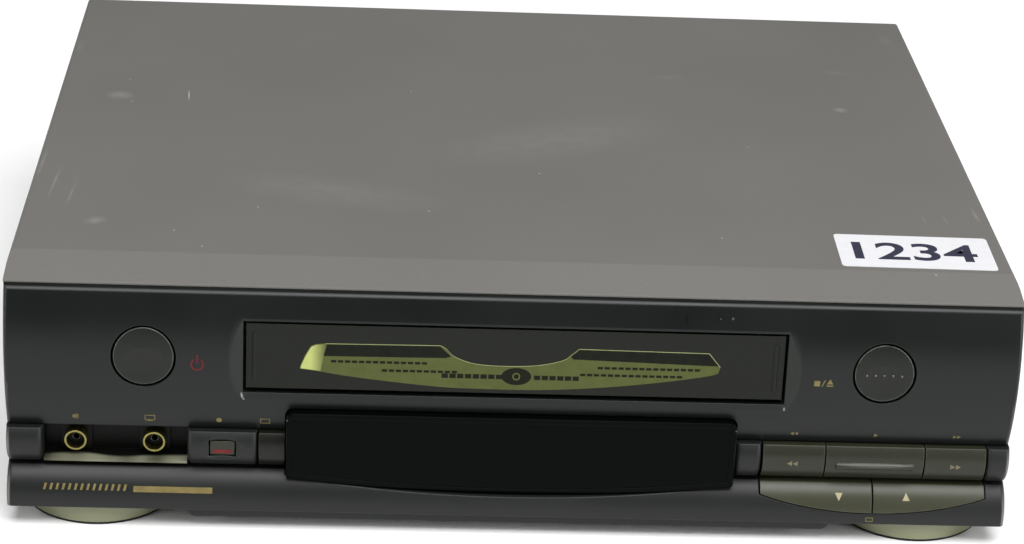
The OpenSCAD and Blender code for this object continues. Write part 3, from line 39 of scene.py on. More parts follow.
CASE_Y = -124.2
COVER_TOP = 100.0
COVER_GREY = (0.113, 0.108, 0.101, 1)
COVER_RUBBED = (0.20, 0.193, 0.183, 1)
COVER_SCUFFED = (0.34, 0.33, 0.31, 1)
# Its marks, each as x, y, half the width, half the length and the turn; a speck has x and y
SMUDGES = [(-163.9, 155.9, 6.5, 5.5, 0), (-161.1, 27.1, 5, 4, 20), (146.3, 162.6, 4, 3.5, 0)]
SMEARS = [(75, 196, 9, 4, 10), (151, 207, 9, 3, -8), (180, 251, 4, 8, 0), (-187, 213, 2, 9, 0),
          (20, 120, 60, 22, 24), (-70, 60, 50, 16, -14)]
STREAKS = [(-187.8, 80, 1.0, 16, -2), (-180.6, 63, 0.8, 20, -3), (-172.9, 52, 0.7, 18, -3),
           (184.8, 54, 1.0, 9, 4), (171.7, 48.7, 0.7, 5, 6), (163.2, 48.1, 0.6, 4, 6)]
SCRATCH = (-134.8, 158.2, 0.35, 7, 4)
SPECKS = [(-161.4, 174.7), (-158.2, 149.5), (-99.6, 43.4), (-33, 43.9), (-130.4, 19.9),
          (-118.8, 6.2), (80.4, 25.9), (159.1, -1.8), (-40, 170), (101, 118), (12, 84)]
SPECK_HALF = (0.5, 0.55)
MARK_REACH = 20
SMUDGE_WEAR, SMEAR_WEAR, STREAK_WEAR = 0.9, 0.28, 0.8
SPECK_WEAR, SCRATCH_WEAR = 1.6, 1.5


def place(x, y, z):
    """A point given in the case's millimetres, from its crease, as a place in the frame."""
    return Vector((x * MM, (y + CASE_Y) * MM, z * MM))


def add(tree, kind, inputs=(), **settings):
    """A shader node with its settings, each input set to a value or linked to a socket."""
    made = tree.nodes.new("ShaderNode" + kind)
    for key, value in settings.items():
        setattr(made, key, value)
    for key, value in dict(inputs).items():
        if isinstance(value, bpy.types.NodeSocket):
            tree.links.new(value, made.inputs[key])
        else:
            made.inputs[key].default_value = value
    return made


def new_finish(name):
    """An empty finish: its material, its node tree, its shader and its Object coordinates."""
    material = bpy.data.materials.new(name)
    material.use_nodes = True
    tree = material.node_tree
    shader = tree.nodes["Principled BSDF"]
    where = add(tree, "TexCoord").outputs["Object"]
    return material, tree, shader, where


def blend(tree, amount, under, over):
    """A colour between two, each a value or a socket, by an amount from 0 to 1."""
    mixed = add(tree, "Mix", {"Factor": amount}, data_type="RGBA")
    colours = [s for s in mixed.inputs if s.type == "RGBA"]
    for socket, colour in zip(colours, (under, over)):
        if isinstance(colour, bpy.types.NodeSocket):
            tree.links.new(colour, socket)
        else:
            socket.default_value = colour
    return [s for s in mixed.outputs if s.type == "RGBA"][0]


def speckle(tree, where, scale, low, high, detail=2.0):
    """Noise of a scale, spread between two limits so that it runs from 0 to 1."""
    cloud = add(tree, "TexNoise", {"Vector": where, "Scale": scale, "Detail": detail})
    limits = {"Value": cloud.outputs["Fac"], "From Min": low, "From Max": high}
    return add(tree, "MapRange", limits).outputs["Result"]


def maths(tree, operation, first, second=0.0, clamp=False):
    """One sum of two numbers, each a value or a socket."""
    made = add(tree, "Math", {0: first, 1: second}, operation=operation, use_clamp=clamp)
    return made.outputs[0]


def oval(tree, where, centre, half, turn=0.0):
    """How strongly a soft-edged oval covers a point, from 0 at its rim to 1 at its centre."""
    fitted = {"Vector": where, "Location": centre, "Rotation": (0, 0, math.radians(turn)),
              "Scale": half}
    within = add(tree, "Mapping", fitted, vector_type="TEXTURE").outputs["Vector"]
    ball = add(tree, "TexGradient", {"Vector": within}, gradient_type="SPHERICAL")
    return ball.outputs["Fac"]


def roughened(tree, shader, where, grain, depth, edge=0.0):
    """Fine grain of a size and depth as a bump, over edges that are softened by a small radius."""
    cloud = add(tree, "TexNoise", {"Vector": where, "Scale": 1 / (grain * MM), "Detail": 3.0})
    height = cloud.outputs["Fac"]
    bump = add(tree, "Bump", {"Strength": 1.0, "Distance": depth * MM, "Height": height})
    if edge:
        soft = add(tree, "Bevel", {"Radius": edge * MM}, samples=4)
        tree.links.new(soft.outputs["Normal"], bump.inputs["Normal"])
    tree.links.new(bump.outputs["Normal"], shader.inputs["Normal"])


def dress(material, *nodes):
    """Gives CAD nodes their finish."""
    for name in nodes:
        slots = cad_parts[name].data.materials
        slots.clear()
        slots.append(material)


def mark(tree, where, x, y, across, along, turn=0.0):
    """How strongly one of the cover's marks covers a point."""
    half = (across * MM, along * MM, MARK_REACH * MM)
    return oval(tree, where, place(x, y, COVER_TOP), half, turn)


def more(tree, so_far, pattern, share, clamp=False):
    """A value with a share of a pattern added, as wear builds up mark by mark."""
    return maths(tree, "ADD", so_far, maths(tree, "MULTIPLY", pattern, share), clamp)


def cover_paint():
    """The cover's grained paint, with the marks that its years left."""
    material, tree, shader, where = new_finish("cover_paint")
    grain = speckle(tree, where, 1500, 0.3, 0.7)
    cloud = speckle(tree, where, 9, 0.3, 0.7, 4.0)
    colour = blend(tree, maths(tree, "MULTIPLY", grain, 0.16), COVER_GREY, COVER_RUBBED)
    colour = blend(tree, maths(tree, "MULTIPLY", cloud, 0.10), colour, COVER_RUBBED)
    patchy = speckle(tree, where, 160, 0.35, 0.6, 3.0)
    wear_and_sheen, scuffed = 0.0, 0.0
    for marks, wear in ((SMUDGES, SMUDGE_WEAR), (SMEARS, SMEAR_WEAR), (STREAKS, STREAK_WEAR)):
        for shape in marks:
            wear_and_sheen = more(tree, wear_and_sheen, mark(tree, where, *shape), wear)
    uneven = maths(tree, "ADD", maths(tree, "MULTIPLY", patchy, 0.6), 0.5)
    wear_and_sheen = maths(tree, "MULTIPLY", wear_and_sheen, uneven)
    for at in SPECKS:
        scuffed = more(tree, scuffed, mark(tree, where, *at, *SPECK_HALF), SPECK_WEAR)
    scuffed = more(tree, scuffed, mark(tree, where, *SCRATCH), SCRATCH_WEAR, clamp=True)
    wear_and_sheen = maths(tree, "MULTIPLY", wear_and_sheen, 1.0, clamp=True)
    colour = blend(tree, wear_and_sheen, colour, COVER_RUBBED)
    colour = blend(tree, scuffed, colour, COVER_SCUFFED)
    tree.links.new(colour, shader.inputs["Base Color"])
    rough = maths(tree, "SUBTRACT", 0.50, maths(tree, "MULTIPLY", wear_and_sheen, 0.10))
    rough = more(tree, rough, cloud, 0.05)
    tree.links.new(rough, shader.inputs["Roughness"])
    roughened(tree, shader, where, grain=0.55, depth=0.018, edge=0.5)
    return material


dress(cover_paint(), "top_cover")

# Number label: a white paper sticker with rounded corners, stuck on the cover's front right
# corner by hand, a little askew, with a plain number printed on it in wide dark figures.
LABEL_CENTRE = (154.3, 17.4)
LABEL_SIZE = (60.0, 29.1)
LABEL_TURN = -0.8
LABEL_THICK = 0.14
LABEL_CORNER = 1.6
FIGURES = "1234"
FIGURE_TALL = 15.5
FIGURES_WIDE = 48.0
FONT_SIZE = 20
FONT_WEIGHT = 0.35
INK_HALF = 0.04
INK_LIFT = 0.02
UNCUT = 40


def object_from(name, mesh_data, material, body):
    """A finished piece that rides on a body: its closed mesh is already at its place."""
    shaped = bmesh.new()
    shaped.from_mesh(mesh_data)
    bmesh.ops.remove_doubles(shaped, verts=shaped.verts, dist=1e-7)
    bmesh.ops.recalc_face_normals(shaped, faces=shaped.faces)
    shaped.to_mesh(mesh_data)
    shaped.free()
    mesh_data.materials.clear()
    mesh_data.materials.append(material)
    piece = bpy.data.objects.new(name, mesh_data)
    bpy.context.scene.collection.objects.link(piece)
    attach(piece, body)


def slab(outlines, thick, lay, strip=0.8, sink=0.06):
    """A closed thin sheet cut to flat outlines, in strips so that it can follow a curve.
    lay puts a point (u, v) at a height over the surface, and its back lies sunk in it."""
    shaped = bmesh.new()
    for outline in outlines:
        shaped.faces.new([shaped.verts.new((u, v, thick)) for u, v in outline])
    low, high = (f(v.co.y for v in shaped.verts) for f in (min, max))
    for i in range(1, math.ceil((high - low) / strip)):
        whole = shaped.verts[:] + shaped.edges[:] + shaped.faces[:]
        cut = (0, low + i * strip, 0)
        bmesh.ops.bisect_plane(shaped, geom=whole, plane_co=cut, plane_no=(0, 1, 0))
    tops = shaped.faces[:]
    shell = bmesh.ops.duplicate(shaped, geom=shaped.verts[:] + shaped.edges[:] + tops)
    under = [f for f in shell["geom"] if isinstance(f, bmesh.types.BMFace)]
    for v in (v for v in shell["geom"] if isinstance(v, bmesh.types.BMVert)):
        v.co.z = -sink
    bmesh.ops.reverse_faces(shaped, faces=under)
    twin = shell["vert_map"]
    for edge in [e for e in shaped.edges if len(e.link_faces) == 1 and e.link_faces[0] in tops]:
        a, b = edge.verts
        shaped.faces.new((a, b, twin[b], twin[a]))
    for v in shaped.verts:
        v.co = lay(*v.co)
    made = bpy.data.meshes.new("slab")
    shaped.to_mesh(made)
    shaped.free()
    return made


def rounded(wide, tall, radius, steps=5, centre=(0.0, 0.0)):
    """The outline of a rectangle with rounded corners."""
    points = []
    for k, (sx, sy) in enumerate(((1, 1), (-1, 1), (-1, -1), (1, -1))):
        for i in range(steps + 1):
            a = math.radians(90 * k + 90 * i / steps)
            points.append((centre[0] + sx * (wide / 2 - radius) + radius * math.cos(a),
                           centre[1] + sy * (tall / 2 - radius) + radius * math.sin(a)))
    return points


def plain_paper(name, colour, mottle, rough, gloss=0.3):
    """Paper, film or ink: a colour with a faint mottle, and hardly any gloss."""
    material, tree, shader, where = new_finish(name)
    cloud = speckle(tree, where, 260, 0.3, 0.7, 3.0)
    darker = (*(c * mottle for c in colour[:3]), 1)
    tree.links.new(blend(tree, cloud, colour, darker), shader.inputs["Base Color"])
    shader.inputs["Roughness"].default_value = rough
    shader.inputs["Specular IOR Level"].default_value = gloss
    roughened(tree, shader, where, 0.4, 0.006)
    return material


def on_cover(u, v, height):
    """Lays points of the label on the cover's top, at the label's place and turn."""
    a = math.radians(LABEL_TURN)
    x = LABEL_CENTRE[0] + u * math.cos(a) - v * math.sin(a)
    y = LABEL_CENTRE[1] + u * math.sin(a) + v * math.cos(a)
    return place(x, y, COVER_TOP + height)


label_paper = plain_paper("label_paper", (0.60, 0.60, 0.62, 1), mottle=0.95, rough=0.6)
label_ink = plain_paper("label_ink", (0.030, 0.032, 0.055, 1), mottle=0.8, rough=0.5)
label_cut = rounded(*LABEL_SIZE, LABEL_CORNER)
object_from("lot_label", slab([label_cut], LABEL_THICK, on_cover, strip=UNCUT), label_paper,
            "case")
figures = bpy.data.curves.new("figures", "FONT")
figures.body = FIGURES
figures.size = FONT_SIZE
figures.offset = FONT_WEIGHT
figures.extrude = INK_HALF
figures.resolution_u = 6
figures_text = bpy.data.objects.new("figures_text", figures)
bpy.context.scene.collection.objects.link(figures_text)
bpy.context.view_layer.update()
settled = figures_text.evaluated_get(bpy.context.evaluated_depsgraph_get())
figures_mesh = bpy.data.meshes.new_from_object(settled)
bpy.data.objects.remove(figures_text)
all_x, all_y = ([v.co[i] for v in figures_mesh.vertices] for i in (0, 1))
for v in figures_mesh.vertices:
    u = ((v.co.x - min(all_x)) / (max(all_x) - min(all_x)) - 0.5) * FIGURES_WIDE
    w = ((v.co.y - min(all_y)) / (max(all_y) - min(all_y)) - 0.5) * FIGURE_TALL
    v.co = on_cover(u, w, LABEL_THICK + INK_LIFT + v.co.z)
object_from("label_figures", figures_mesh, label_ink, "case")

# Upper fascia: one convex moulding of charcoal plastic with a satin grain, nicked here and
# there. Its flat field round the slot is part of the mould, with a crescent at each end. The
# signs by the buttons and over the keys are screen-printed in gold and red.
FASCIA_RADIUS = 75.0
FASCIA_AXIS = (45.5, 63.0)
CHARCOAL = (0.0030, 0.0043, 0.0037, 1)
CHARCOAL_PALE = (0.0068, 0.0088, 0.0076, 1)
# Painted shade: the near-black laid in gaps and crevices, and how far it reaches
GAP_SHADE = (0.0006, 0.0006, 0.0006, 1)
GAP_REACH = 0.9
INK_THICK = 0.05
# Its marks, each as x, z, half the width and half the height. The crescents are painted paler
# and the glints are painted highlights; the nicks and chips are real.
CRESCENT_HIGHLIGHTS = [(-101.8, 70.5, 5.6, 17), (101.8, 70.5, 5.6, 17)]
NICKS = [(58.9, 94.3, 0.35, 1.8), (62.8, 89.5, 0.6, 2.4), (74.4, 90.0, 0.8, 0.7),
         (141.8, 95.2, 1.6, 0.4)]
CHIPS = [(80.0, 90.1, 0.6, 0.6), (75.5, 89.9, 0.4, 0.3)]
GLINTS = [(-102.0, 55.9, 0.45, 1.2), (-101.7, 55.0, 0.5, 1.0), (-101.2, 54.0, 0.5, 0.6),
          (101.6, 54.9, 0.5, 1.0)]
POWER_SIGN = (-118.3, 68.2)
EJECT_SIGN_X = (113.0, 117.9)
SIGN_ROW_Z = 43.6
SCREEN_SIGN, SOUND_SIGN_X = (-136.2, 44.2), -164.2


def moulded(name, dark, pale, rough=0.42, grain=0.35, depth=0.010, edge=0.45, edge_wear_sheen_strength=0.35,
            gloss=0.5, edge_paling=5):
    """Moulded plastic with a faint mottle and a satin grain. Its edges are painted paler, as wear
    and as a painted highlight, by a given strength and paleness, and painted shade darkens its
    gaps."""
    material, tree, shader, where = new_finish(name)
    cloud = speckle(tree, where, 22, 0.32, 0.68, 4.0)
    fine = speckle(tree, where, 1400, 0.3, 0.7)
    colour = blend(tree, maths(tree, "MULTIPLY", cloud, 0.22), dark, pale)
    colour = blend(tree, maths(tree, "MULTIPLY", fine, 0.14), colour, pale)
    # Wear and painted highlight: edges found by the bevel are painted paler, in patches.
    soft = add(tree, "Bevel", {"Radius": edge * MM}, samples=4).outputs["Normal"]
    flat = add(tree, "NewGeometry").outputs["Normal"]
    same = add(tree, "VectorMath", {0: soft, 1: flat}, operation="DOT_PRODUCT").outputs["Value"]
    edges = add(tree, "MapRange", {"Value": same, "From Min": 0.995, "From Max": 0.72})
    patchy = speckle(tree, where, 300, 0.25, 0.6)
    uneven = maths(tree, "MULTIPLY", patchy, edge_wear_sheen_strength)
    wear_and_sheen = maths(tree, "MULTIPLY", edges.outputs["Result"], uneven, clamp=True)
    paler = (*(min(1.0, c * edge_paling) for c in pale[:3]), 1)
    colour = blend(tree, wear_and_sheen, colour, paler)
    # Painted shade: where ambient occlusion finds surfaces close by, the colour darkens to
    # near-black.
    nearby = add(tree, "AmbientOcclusion", {"Distance": GAP_REACH * MM}, samples=6).outputs["AO"]
    out_of_shade = add(tree, "MapRange", {"Value": nearby, "From Min": 0.42, "From Max": 0.72})
    colour = blend(tree, out_of_shade.outputs["Result"], GAP_SHADE, colour)
    tree.links.new(colour, shader.inputs["Base Color"])
    tree.links.new(more(tree, rough, cloud, 0.06), shader.inputs["Roughness"])
    shader.inputs["Specular IOR Level"].default_value = gloss
    roughened(tree, shader, where, grain, depth, edge)
    return material


def on_drum(axis, radius):
    """Lays points (x, z) on a cylinder that lies across the case, at a height over it."""

    def lay(x, z, height):
        lean = math.asin((z - axis[1]) / radius)
        reach = radius + height
        return place(x, axis[0] - reach * math.cos(lean), axis[1] + reach * math.sin(lean))

    return lay


def ring(x, z, outer, inner, start=0, end=360, steps=28):
    """A flat ring, or a part of one, as a run of four-sided outlines."""
    pieces = []
    for i in range(steps):
        a, b = (math.radians(start + (end - start) * k / steps) for k in (i, i + 1))
        pieces.append([(x + outer * math.cos(a), z + outer * math.sin(a)),
                       (x + inner * math.cos(a), z + inner * math.sin(a)),
                       (x + inner * math.cos(b), z + inner * math.sin(b)),
                       (x + outer * math.cos(b), z + outer * math.sin(b))])
    return pieces


def bar_mark(x, z, wide, tall):
    """A filled rectangle round a centre."""
    return [(x - wide / 2, z - tall / 2), (x + wide / 2, z - tall / 2),
            (x + wide / 2, z + tall / 2), (x - wide / 2, z + tall / 2)]


def arrow(x, z, size, turn):
    """A filled triangle that points along an angle: 0 to the right, 90 up."""
    corners = [math.radians(turn + a) for a in (0, 120, 240)]
    return [(x + size * math.cos(a), z + size * math.sin(a)) for a in corners]


def frame_mark(x, z, wide, tall, line):
    """The outline of a rectangle, drawn with a line of a width."""
    return [bar_mark(x, z + tall / 2, wide + line, line),
            bar_mark(x, z - tall / 2, wide + line, line),
            bar_mark(x - wide / 2, z, line, tall - line),
            bar_mark(x + wide / 2, z, line, tall - line)]


def printed(name, marks, lay, material, body):
    """Screen-printed marks: thin closed slabs of ink on a surface, one outline each."""
    object_from(name, slab(marks, INK_THICK, lay), material, body)


def scars_and_highlights(material, scars, colour, strength=1.5, limit=1.0):
    """Adds marks of a colour to a finish of the front, each (x, z, half width, half height): real
    nicks and chips, and painted highlights.
    """
    tree = material.node_tree
    shader = tree.nodes["Principled BSDF"]
    where = add(tree, "TexCoord").outputs["Object"]
    spots = 0.0
    for x, z, across, tall in scars:
        spot = oval(tree, where, place(x, -20, z), (across * MM, 40 * MM, tall * MM))
        spots = more(tree, spots, spot, strength)
    spots = maths(tree, "MULTIPLY", maths(tree, "MINIMUM", spots, 1.0), limit)
    base = shader.inputs["Base Color"]
    plain = base.links[0].from_socket if base.is_linked else tuple(base.default_value)
    tree.links.new(blend(tree, spots, plain, colour), base)


charcoal = moulded("charcoal_plastic", CHARCOAL, CHARCOAL_PALE, rough=0.30, edge_wear_sheen_strength=0.6, gloss=0.28)
# Painted highlight: the crescents at the slot's ends are painted paler than the fascia.
scars_and_highlights(charcoal, CRESCENT_HIGHLIGHTS, (0.018, 0.021, 0.018, 1), strength=5, limit=0.45)
scars_and_highlights(charcoal, NICKS, (0.001, 0.001, 0.001, 1))
scars_and_highlights(charcoal, CHIPS, (0.07, 0.07, 0.06, 1))
# Painted highlights: pale glints at the lower tips of the crescents.
scars_and_highlights(charcoal, GLINTS, (0.20, 0.20, 0.19, 1))
dress(charcoal, "upper_fascia")
gold_ink = plain_paper("gold_ink", (0.17, 0.135, 0.052, 1), mottle=0.7, rough=0.4, gloss=0.2)
pale_ink = plain_paper("pale_ink", (0.32, 0.29, 0.17, 1), mottle=0.75, rough=0.4, gloss=0.2)
key_ink = plain_paper("key_ink", (0.15, 0.135, 0.080, 1), mottle=0.75, rough=0.4, gloss=0.2)
red_ink = plain_paper("red_ink", (0.105, 0.006, 0.010, 1), mottle=0.8, rough=0.4, gloss=0.2)
on_fascia = on_drum(FASCIA_AXIS, FASCIA_RADIUS)
power_sign = ring(*POWER_SIGN, 2.5, 1.95, 125, 415)
power_sign += [bar_mark(POWER_SIGN[0], POWER_SIGN[1] + 2, 0.6, 3.4)]
printed("power_sign", power_sign, on_fascia, red_ink, "case")
stop_x, eject_x = EJECT_SIGN_X
stop_signs = [bar_mark(stop_x, 66.4, 2.2, 2.2), bar_mark(eject_x, 65.5, 2.5, 0.5),
              arrow(eject_x, 66.9, 1.4, 90),
              [(114.7, 65.2), (115.1, 65.2), (116.2, 67.8), (115.8, 67.8)]]
printed("stop_eject_signs", stop_signs, on_fascia, gold_ink, "case")
key_signs = [arrow(x, SIGN_ROW_Z, size, turn) for x, size, turn in
             ((107.7, 0.9, 180), (106.1, 0.9, 180), (137.8, 1.0, 0), (168.0, 0.9, 0),
              (169.6, 0.9, 0))]
key_signs += frame_mark(-93.2, 43.7, 3.4, 2.0, 0.3) + ring(-110.4, 43.7, 1.1, 0.0, steps=14)
key_signs += frame_mark(*SCREEN_SIGN, 3.6, 2.2, 0.3)
key_signs += [bar_mark(SCREEN_SIGN[0], SCREEN_SIGN[1] - 1.5, 2.0, 0.3)]
key_signs += ring(SOUND_SIGN_X, 44.1, 1.5, 1.15, -60, 60, 8)
key_signs += ring(SOUND_SIGN_X, 44.1, 0.9, 0.0, steps=12)
printed("key_signs", key_signs, on_fascia, gold_ink, "case")

# Round buttons: power at the left, stop and eject at the right, moulded in a plastic much like
# the fascia's. Each is a dished cap that slides in a tight bore; five raised dots mark eject.
BUTTON_X = 138.2
BUTTON_Z = 70.5
BUTTON_RIM_Y = -29.12
DISH_DEPTH = 0.66
DISH_BEND = 120.0
DOT_COUNT = 5
DOT_STEP = 3.3
DOT_RADIUS = 0.5
DOTS_DROP = 0.6
# The buttons' rims are painted very pale, as wear and as a painted highlight.
button_plastic = moulded("button_plastic", (0.0046, 0.0058, 0.0042, 1),
                         (0.0098, 0.0115, 0.0088, 1), rough=0.28, edge=0.7, edge_wear_sheen_strength=2.4, gloss=0.28,
                         edge_paling=13)
dress(button_plastic, "power_button", "eject_button")
# Painted highlight: the eject dots are given a much paler plastic than their button.
dot_highlight_plastic = moulded("dot_highlight_plastic", (0.045, 0.047, 0.040, 1), (0.09, 0.09, 0.078, 1), rough=0.3,
                      gloss=0.6)


def row_tree(name, shape_kind, sizes):
    """A node tree that repeats one small shape along a row, with named inputs for its sizes."""
    tree = bpy.data.node_groups.new(name, "GeometryNodeTree")
    face = tree.interface
    for label, kind, value in (("Count", "NodeSocketInt", 5),
                               ("Step", "NodeSocketVector", (1, 0, 0)),
                               ("Finish", "NodeSocketMaterial", None), *sizes):
        socket = face.new_socket(name=label, in_out="INPUT", socket_type=kind)
        if value is not None:
            socket.default_value = value
    face.new_socket(name="Geometry", in_out="OUTPUT", socket_type="NodeSocketGeometry")
    given = tree.nodes.new("NodeGroupInput")
    line = tree.nodes.new("GeometryNodeMeshLine")
    line.mode = "OFFSET"
    shape = tree.nodes.new(shape_kind)
    spread = tree.nodes.new("GeometryNodeInstanceOnPoints")
    real = tree.nodes.new("GeometryNodeRealizeInstances")
    finish = tree.nodes.new("GeometryNodeSetMaterial")
    out = tree.nodes.new("NodeGroupOutput")
    tree.links.new(given.outputs["Count"], line.inputs["Count"])
    tree.links.new(given.outputs["Step"], line.inputs["Offset"])
    for label, _, _ in sizes:
        tree.links.new(given.outputs[label], shape.inputs[label])
    tree.links.new(line.outputs["Mesh"], spread.inputs["Points"])
    tree.links.new(shape.outputs["Mesh"], spread.inputs["Instance"])
    tree.links.new(spread.outputs["Instances"], real.inputs["Geometry"])
    tree.links.new(real.outputs["Geometry"], finish.inputs["Geometry"])
    tree.links.new(given.outputs["Finish"], finish.inputs["Material"])
    tree.links.new(finish.outputs["Geometry"], out.inputs["Geometry"])
    return tree


def grown(tree, values):
    """The plain mesh that a node tree makes with these values for its named inputs."""
    holder = bpy.data.objects.new("holder", bpy.data.meshes.new("holder"))
    bpy.context.scene.collection.objects.link(holder)
    modifier = holder.modifiers.new("grow", "NODES")
    modifier.node_group = tree
    for item in tree.interface.items_tree:
        if item.in_out == "INPUT" and item.name in values:
            modifier[item.identifier] = values[item.name]
    bpy.context.view_layer.update()
    settled = holder.evaluated_get(bpy.context.evaluated_depsgraph_get())
    made = bpy.data.meshes.new_from_object(settled)
    holder.modifiers.clear()
    bpy.data.objects.remove(holder)
    return made


dot_tree = row_tree("dot_row", "GeometryNodeMeshUVSphere",
                    (("Radius", "NodeSocketFloat", 0.5), ("Segments", "NodeSocketInt", 12),
                     ("Rings", "NodeSocketInt", 8)))
dots = grown(dot_tree, {"Count": DOT_COUNT, "Step": (DOT_STEP, 0.0, 0.0), "Finish": dot_highlight_plastic,
                        "Radius": DOT_RADIUS, "Segments": 12, "Rings": 8})
middle = (DOT_COUNT - 1) / 2 * DOT_STEP
for v in dots.vertices:
    dish = DISH_DEPTH - ((v.co.x - middle) ** 2) / DISH_BEND
    v.co = place(BUTTON_X + v.co.x - middle, BUTTON_RIM_Y + dish + v.co.y,
                 BUTTON_Z - DOTS_DROP + v.co.z)
object_from("eject_dots", dots, dot_highlight_plastic, "eject_key")

# Cassette flap: a flat plate of olive-black plastic with a rib near each end. It hangs on two
# pins at its top edge and swings in when a cassette pushes it. A film sticker lies across it:
# a lime band with a bright left end, two dark panels and a pale line along its upper edge.
FLAP_LEAN = math.radians(5.558)
FLAP_FOOT = (-28.994, 54.3)
FLAP_FACE = 0.8
FILM_THICK = 0.10
EDGE_LINE = 0.2
LIME = (0.062, 0.072, 0.0165, 1)
BRIGHT_LIME = (0.36, 0.395, 0.124, 1)
FADE_FROM, FADE_TO = -76.5, -71.2
dress(moulded("flap_plastic", (0.0040, 0.0050, 0.0030, 1), (0.0080, 0.0094, 0.0062, 1),
              rough=0.30, depth=0.006, edge=0.35, edge_wear_sheen_strength=0.9, gloss=0.2), "cassette_flap")


def on_flap(x, z, height):
    """Lays points on the leaning face of the closed flap."""
    up = (z - FLAP_FOOT[1] + FLAP_FACE * math.sin(FLAP_LEAN)) / math.cos(FLAP_LEAN)
    out = FLAP_FACE - height
    return place(x, FLAP_FOOT[0] + out * math.cos(FLAP_LEAN) + up * math.sin(FLAP_LEAN),
                 FLAP_FOOT[1] - out * math.sin(FLAP_LEAN) + up * math.cos(FLAP_LEAN))


def on_film(raised=0.0):
    """Lays points on the film sticker, or on what is printed on it."""
    return lambda x, z, height: on_flap(x, z, height + FILM_THICK + raised)


def smooth(points, steps=5):
    """A flowing line through points."""
    line = []
    for i in range(len(points) - 1):
        a, b, c, d = (Vector(points[max(0, min(len(points) - 1, i + k))]) for k in (-1, 0, 1, 2))
        for s in range(steps):
            t = s / steps
            line.append(tuple(0.5 * ((2 * b) + (c - a) * t + (2 * a - 5 * b + 4 * c - d) * t * t
                                     + (3 * b - a - 3 * c + d) * t ** 3)))
    return line + [tuple(points[-1])]


film_foot = smooth([(-80.5, 66.3), (-73.3, 65.4), (-58.2, 63.2), (-30.6, 60.5), (-13.2, 59.9),
                    (9.5, 60.0), (32.1, 61.5), (54.7, 64.2), (71.5, 67.0), (75.8, 68.3)])
dip = smooth([(23.2, 76.8), (20.5, 74.4), (17.1, 72.0), (8.0, 69.9), (-4.0, 69.3), (-15.5, 70.0),
              (-23.0, 72.6), (-26.2, 75.6), (-28.4, 76.9)])
film_head = [(76.6, 70.8), (72.1, 76.3), (23.2, 76.8)] + dip[1:] + [(-71.1, 76.6), (-74.8, 76.2)]
film_head += smooth([(-76.6, 75.4), (-78.6, 71.8), (-80.3, 67.6)], 4)
lime_film = plain_paper("lime_film", LIME, mottle=0.84, rough=0.36, gloss=0.2)
edge_film = plain_paper("edge_film", (0.24, 0.26, 0.12, 1), mottle=0.8, rough=0.3, gloss=0.3)
dark_film = plain_paper("dark_film", (0.0045, 0.0062, 0.0025, 1), mottle=0.45, rough=0.25,
                        gloss=0.12)
film_ink = plain_paper("film_ink", (0.006, 0.007, 0.003, 1), mottle=0.7, rough=0.45, gloss=0.12)
bright_film = plain_paper("bright_film", BRIGHT_LIME, mottle=0.9, rough=0.3, gloss=0.25)
tree = bright_film.node_tree
base = tree.nodes["Principled BSDF"].inputs["Base Color"]
where = add(tree, "TexCoord").outputs["Object"]
along = add(tree, "SeparateXYZ", {"Vector": where}).outputs["X"]
fading = add(tree, "MapRange", {"Value": along, "From Min": FADE_FROM * MM,
                                "From Max": FADE_TO * MM}).outputs["Result"]
tree.links.new(blend(tree, fading, base.links[0].from_socket, LIME), base)
object_from("flap_film", slab([film_foot + film_head], FILM_THICK, on_flap), lime_film, "flap")
bright_end = [(-80.2, 66.5), (-72.8, 65.6), (-70.6, 76.35), (-74.7, 75.9)]
bright_end += smooth([(-76.3, 75.1), (-78.3, 71.6), (-80.0, 67.6)], 4)
dark_left = [(-71.8, 71.6), (-26.6, 71.9), (-24.4, 72.6), (-28.7, 76.5), (-70.6, 76.2)]
dark_right = [(21.2, 72.6), (74.6, 71.2), (75.8, 71.2), (71.9, 75.9), (23.4, 76.4), (20.4, 73.7)]
printed("film_bright_end", [bright_end], on_film(), bright_film, "flap")
printed("film_dark_panels", [dark_left, dark_right], on_film(), dark_film, "flap")
edge_runs = [[(-71.1, 76.6), (-28.4, 76.9), (-28.6, 76.7), (-71.0, 76.4)],
             [(23.2, 76.8), (72.1, 76.3), (71.9, 76.1), (23.5, 76.6)],
             [(72.1, 76.3), (76.6, 70.8), (76.35, 70.8), (71.9, 76.1)]]
edge_runs += [[a, b, (b[0], b[1] - EDGE_LINE), (a[0], a[1] - EDGE_LINE)]
              for a, b in zip(dip, dip[1:])]
printed("film_edge", edge_runs, on_film(INK_THICK), edge_film, "flap")

# Film rows: short dark dashes of plain ink, printed in rows along the sticker's band, and a
# plain dark disc with a pale ring in the middle of its lower edge.
ROWS = ((-68.0, 69.6, 14, 2.6, 1.9, 0.9), (-49.0, 66.4, 11, 2.6, 1.9, 0.9),
        (31.5, 69.4, 15, 2.6, 1.9, 0.9), (25.0, 66.5, 15, 2.6, 1.9, 0.9),
        (-26.5, 64.9, 8, 2.9, 2.3, 1.7), (8.0, 64.9, 6, 2.9, 2.3, 1.7))
DASH_THICK = 0.06
DISC_CENTRE = (0.2, 65.2)
DISC_HALF = (5.6, 3.4)
DISC_SIDES = 28
dash_tree = row_tree("dash_row", "GeometryNodeMeshCube",
                     (("Size", "NodeSocketVector", (1, 1, 1)),))


